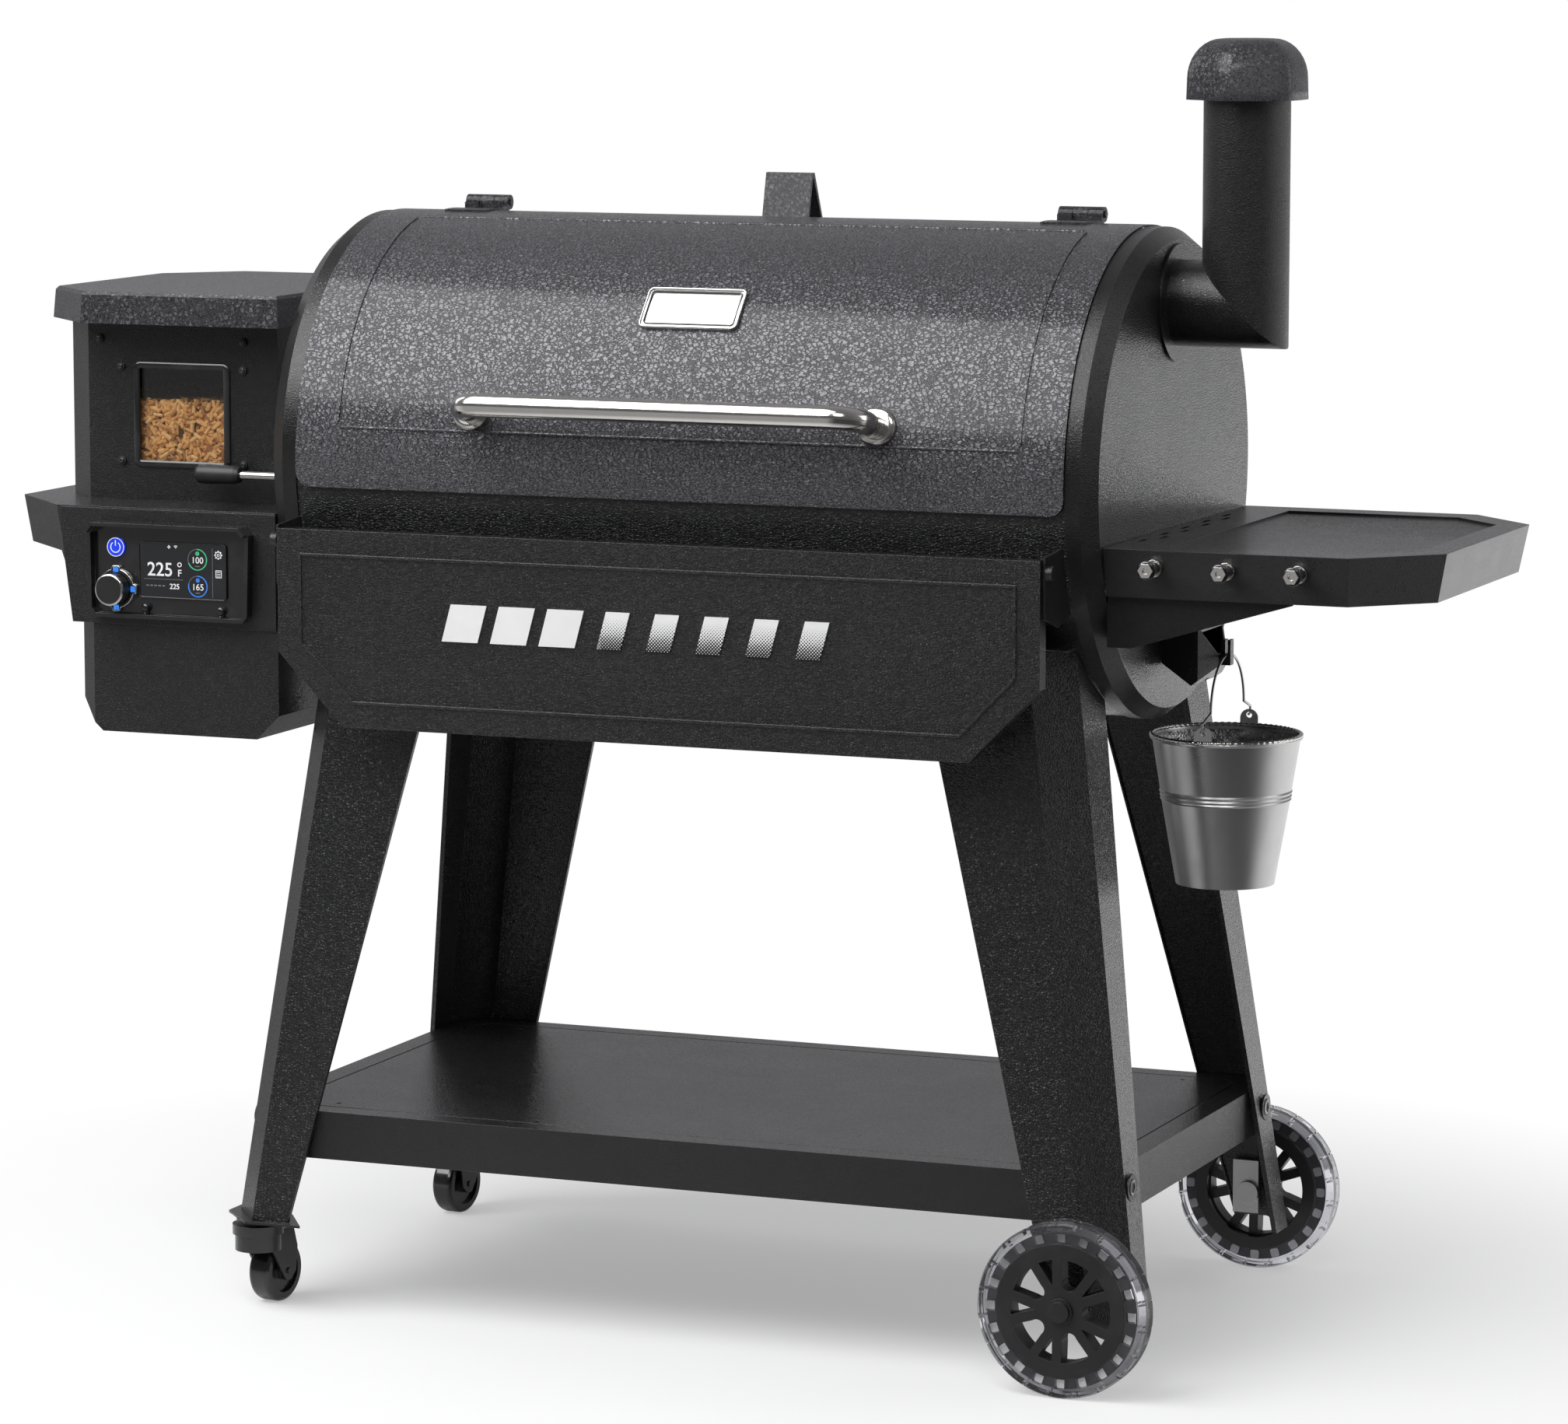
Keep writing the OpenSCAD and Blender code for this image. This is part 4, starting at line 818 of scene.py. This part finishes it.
def hopper_window():
    """Black surround of the front window, and the six-sided sockets of the hopper's screws."""
    spot = Vector((WINDOW.x, low("hopper_body").y, WINDOW.z))
    bm = bmesh.new()
    rounded_frame(bm, spot, 132 * MM, 129 * MM, 114 * MM, 112 * MM, 10 * MM, 1.6 * MM)
    new_piece("window_surround", bm, MATS["gloss_black"], "frame")
    sockets = bmesh.new()
    profile = ((1.5, -0.6), (2.0, 0.15), (3.0, 0.15), (3.5, -0.5))
    screws = ((-799, 1155.6), (-603, 1155.6), (-770, 1122.5),
              (-603.5, 1121.7), (-769.8, 1007), (-603.5, 1007))
    for x, z in screws:
        head = Vector((x * MM, low("window_screws").y, z * MM))
        turned(sockets, head, RIGHT, UP, FRONT, profile, 6)
    new_piece("screw_sockets", sockets, MATS["gloss_black"], "frame")


# ---------------------------------------------------------------- lid, chimney, bucket, wheels
def lid_plate():
    """Plain plate without any mark: a dark inset line inside a bright rim."""
    angle = math.radians(41.5)      # slope of the lid under the plate
    out = Vector((0, -math.cos(angle), math.sin(angle)))
    rise = Vector((0, math.sin(angle), math.cos(angle)))
    lo, hi = low("lid_badge"), high("lid_badge")
    crest = max(v.co.dot(out) for v in frame["nodes"]["lid_badge"].data.vertices)
    centre = mid("lid_badge")
    centre += out * (crest - centre.dot(out))
    wide = hi.x - lo.x
    tall = min(math.hypot(hi.y - lo.y, hi.z - lo.z) * 0.97, 58 * MM)
    bands = (("badge_rim", 0, 2.2, 0.9, "polished_steel"), ("badge_line", 4.5, 1.5, 0.4, "gloss_black"))
    for name, gap, width, lift, finish in bands:
        bm = bmesh.new()
        w, t = wide - 2 * gap * MM, tall - 2 * gap * MM
        section = ((0, -0.6), (0, lift * 0.7), (0.3, lift),
                   (width - 0.3, lift), (width, lift * 0.6), (width, -0.6))
        rows = []
        for shrink, up in section:
            radius = (7 - gap * 0.5 - shrink) * MM
            outline = rounded_outline(w - 2 * shrink * MM, t - 2 * shrink * MM, radius)
            rows.append([bm.verts.new(centre + RIGHT * x + rise * y + out * up * MM) for x, y in outline])
        skin(bm, rows)
        new_piece(name, bm, MATS[finish], "lid")


def chimney_hood():
    """Hexagonal hood whose folded corners are pressed round."""
    axis = mid("chimney_cap")
    bm = bmesh.new()
    sides, steps = 6, 96
    half_side = math.pi / sides
    blend = 16                  # how sharply the round corners meet the flats
    corner = 0.962              # radius of the round corners against the full hexagon's
    wall = 2.2
    shoulder_z, top_z = 1483, 1529
    shoulder_r, dome_r = 43.2, 33

    def radius(angle, size):
        fold = (angle - math.pi / 2 + half_side) % (2 * half_side) - half_side
        flat = size * math.cos(half_side) / math.cos(abs(fold) - half_side)
        return (flat ** -blend + (size * corner) ** -blend) ** (-1 / blend)

    def profile(inset):
        points = [(77 - inset, 1459), (76.6 - inset, 1470), (76.2 - inset, shoulder_z)]
        for k in range(1, 10):
            a = math.radians(k * 10)
            points.append((dome_r + (shoulder_r - inset) * math.cos(a),
                           shoulder_z + (top_z - shoulder_z - inset) * math.sin(a)))
        return points + [(18, top_z - inset), (0.5, top_z - inset)]

    rows = []
    for size, z in profile(0)[::-1] + profile(wall):
        row = []
        for i in range(steps):
            a = math.tau * i / steps
            r = radius(a, size * MM)
            row.append(bm.verts.new((axis.x + r * math.cos(a), axis.y + r * math.sin(a), z * MM)))
        rows.append(row)
    skin(bm, rows[::-1])
    bm.faces.new(rows[0][::-1])
    turned(bm, Vector((axis.x, axis.y, 0)), RIGHT, BACK, UP, ((0.1, 1425), (4, 1426), (4, 1526.8)), 24)
    hood = new_piece("chimney_hood", bm, MATS["hammertone"], "chimney_cap")
    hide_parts("chimney_cap")


def foil(name):
    """Crumpled foil with swirling folds."""
    g = Graph(name)
    swirl = g.noise(26, 4, 0.62, distort=3.2)
    fold = g.cells(55, "DISTANCE_TO_EDGE")
    base = g.blend(g.span(swirl, 0.0, 1.0, 0.3, 0.7), (0.62, 0.62, 0.63), (0.95, 0.95, 0.96))
    height = g.math("ADD", g.math("MULTIPLY", swirl, 2.0), g.math("MULTIPLY", fold, 0.5))
    g.surface(Base_Color=base, Metallic=1.0, Roughness=0.2, Normal=g.bump(height, 1.0, 4 * MM))
    return g.mat


def bucket_details():
    """Foil liner, and a rolled rim with a roped hem."""
    axis = Vector((mid("bucket").x, 0, 0))
    rng = random.Random(3)
    bm = bmesh.new()
    liner_gap = 0.9
    wall = ((0.5, 544.6), (30, 544.6), (54, 545), (56.3, 547), (59.6, 565), (65, 596),
            (71, 628), (75.6, 654), (79, 676), (82.2, 696), (84.8, 713))
    profile = [(r - liner_gap, z) for r, z in wall]
    flat = 3                # points of the profile that lie on the bottom and stay smooth
    for row in turned(bm, axis, RIGHT, BACK, UP, profile, 96):
        for v in row[flat:-1]:
            shrink = 1 - rng.uniform(0, 0.012)
            v.co.x = axis.x + (v.co.x - axis.x) * shrink
            v.co.y *= shrink
    new_piece("bucket_liner", bm, foil("foil_liner"), "bucket")

    rim = bmesh.new()
    steps, around, twists = 288, 10, 72
    rim_r, rim_z = 87.7, 718
    loops = []
    for i in range(steps):
        a = math.tau * i / steps
        swell = 1 + 0.16 * math.sin(a * twists)
        ray = RIGHT * math.cos(a) + BACK * math.sin(a)
        loop = []
        for k in range(around):
            t = math.tau * k / around
            out = rim_r + 2.3 * swell * math.cos(t)
            rise = rim_z + 2.5 * swell * math.sin(t)
            loop.append(rim.verts.new(axis + ray * out * MM + UP * rise * MM))
        loops.append(loop)
    skin(rim, (loops + loops[:1])[::-1])
    new_piece("bucket_rim", rim, MATS["polished_steel"], "bucket")


def hook_washers():
    """Black rubber flange behind each steel peg of the side shelf."""
    bm = bmesh.new()
    profile = ((8.3, -3.4), (10.5, -3.6), (10.9, -5.2), (10.5, -8.0), (6.5, -10.5), (6.5, -26))
    hook_z = 940
    for x in (591.5, 677.5, 762.5):
        spot = Vector((x * MM, low("tool_hooks").y, hook_z * MM))
        turned(bm, spot, RIGHT, UP, FRONT, profile, 40)
    new_piece("hook_washers", bm, MATS["gloss_black"], "frame")


def slot_shadow_plate():
    """Dark plate under the slots of the side shelf, a painted shadow that makes the slots read black."""
    lo, hi = low("side_shelf"), high("side_shelf")
    bm = bmesh.new()
    centre = Vector((lo.x + 22 * MM, 0, hi.z - 12 * MM))
    left, right, half = -18 * MM, 22 * MM, 190 * MM
    plate(bm, [(left, -half), (right, -half), (right, half), (left, half)], centre, RIGHT, BACK, UP, 2 * MM)
    # painted shadow: the dark plate shows through the slots
    new_piece("slot_shadow_plate", bm, MATS["black_plastic"], "frame", smooth=False)


def tread_pockets():
    """Pale rounded floors of the pockets moulded into both faces of the two large tyres, their paleness a
    painted highlight.
    """
    finish = tread_pocket_highlight("tread_pocket_highlight")
    pockets, radius, depth = 20, 84.6 * MM, 7.6 * MM
    for end in ("front", "rear"):
        lo, hi = low("tyre_" + end), high("tyre_" + end)
        bm = bmesh.new()
        for normal, face in ((FRONT, lo.y), (BACK, hi.y)):
            across = RIGHT if normal == FRONT else -RIGHT
            hub = Vector(((lo.x + hi.x) / 2, face, (lo.z + hi.z) / 2)) - normal * depth
            for k in range(pockets):
                a = math.tau * k / pockets
                out = across * math.cos(a) + UP * math.sin(a)
                side = UP * math.cos(a) - across * math.sin(a)
                outline = rounded_outline(10.4 * MM, 10.8 * MM, 2.3 * MM, 3)
                plate(bm, outline, hub + out * radius, out, side, normal, 1.2 * MM)
        new_piece("tread_pockets_" + end, bm, finish, "wheel_" + end, smooth=False)


def bolt_caps():
    """Dark socket caps on the four bolts that hold the legs to the lower shelf."""
    left, right = low("lower_shelf").x, high("lower_shelf").x
    bolt_y, bolt_z = 0.252, 0.224
    profile = ((4.6, -1.0), (5.2, 0.9), (8.6, 0.9), (10.2, 0.5), (10.4, -0.6))
    bm = bmesh.new()
    for x, out, across in ((left, -RIGHT, FRONT), (right, RIGHT, BACK)):
        for side in (-1, 1):
            turned(bm, Vector((x, side * bolt_y, bolt_z)), across, UP, out, profile, 30)
    new_piece("bolt_caps", bm, MATS["gloss_black"], "frame")


def handle_rosettes():
    """Stepped bright collars where the lid handle meets its posts."""
    lo, hi = low("lid_handle"), high("lid_handle")
    angle = math.radians(13.7)      # slope of the lid at the handle
    post = 14.5 * MM                # from the end of the handle to the middle of its post
    lid_face = 0.2903
    profile = ((15, 7.0), (18.6, 6.6), (20.4, 5.2), (21.6, 2.4), (21.8, -0.6))
    out = Vector((0, -math.cos(angle), math.sin(angle)))
    rise = Vector((0, math.sin(angle), math.cos(angle)))
    axis = Vector((0, 0, 1.022))
    for side, x in (("left", lo.x + post), ("right", hi.x - post)):
        bm = bmesh.new()
        turned(bm, Vector((x, 0, 0)) + axis + out * lid_face, RIGHT, rise, out, profile, 56)
        new_piece("handle_rosette_" + side, bm, MATS["polished_steel"], "lid")


def faded_print(name):
    """White print on the front shelf: the last bars break up into dots towards their lower edge."""
    g = Graph(name)
    split = g.node("ShaderNodeSeparateXYZ", Vector=g.coord)
    x, z = split.outputs[0], split.outputs[2]
    dot_pitch = 4.0 * MM
    across = g.math("SINE", g.math("MULTIPLY", x, math.tau / dot_pitch))
    upward = g.math("SINE", g.math("MULTIPLY", z, math.tau / dot_pitch))
    wave = g.math("MULTIPLY", across, upward)
    height = g.span(z, 0.0, 1.0, 0.828, 0.872)
    later = g.span(x, 0.0, 1.0, -0.07, -0.05)
    limit = g.span(height, 0.75, -1.3)
    dots = g.math("GREATER_THAN", wave, limit)
    solid = g.math("MAXIMUM", dots, g.math("SUBTRACT", 1.0, later))
    white = g.blend(g.noise(40, 3), (0.80, 0.80, 0.80), (0.90, 0.90, 0.90))
    base = g.blend(solid, (0.02, 0.02, 0.021), white)
    g.surface(Base_Color=base, Roughness=g.span(g.noise(300, 2), 0.25, 0.4),
              Normal=g.bump(g.noise(600, 2), 0.1, 0.3 * MM))
    return g.mat


dress_cad_nodes()
frame["nodes"]["shelf_stripes"].data.materials[0] = faded_print("faded_print")
screen_contents()
knob_and_button()
pellet_fill()
hopper_window()
lid_plate()
chimney_hood()
bucket_details()
hook_washers()
slot_shadow_plate()
tread_pockets()
bolt_caps()
handle_rosettes()
studio()
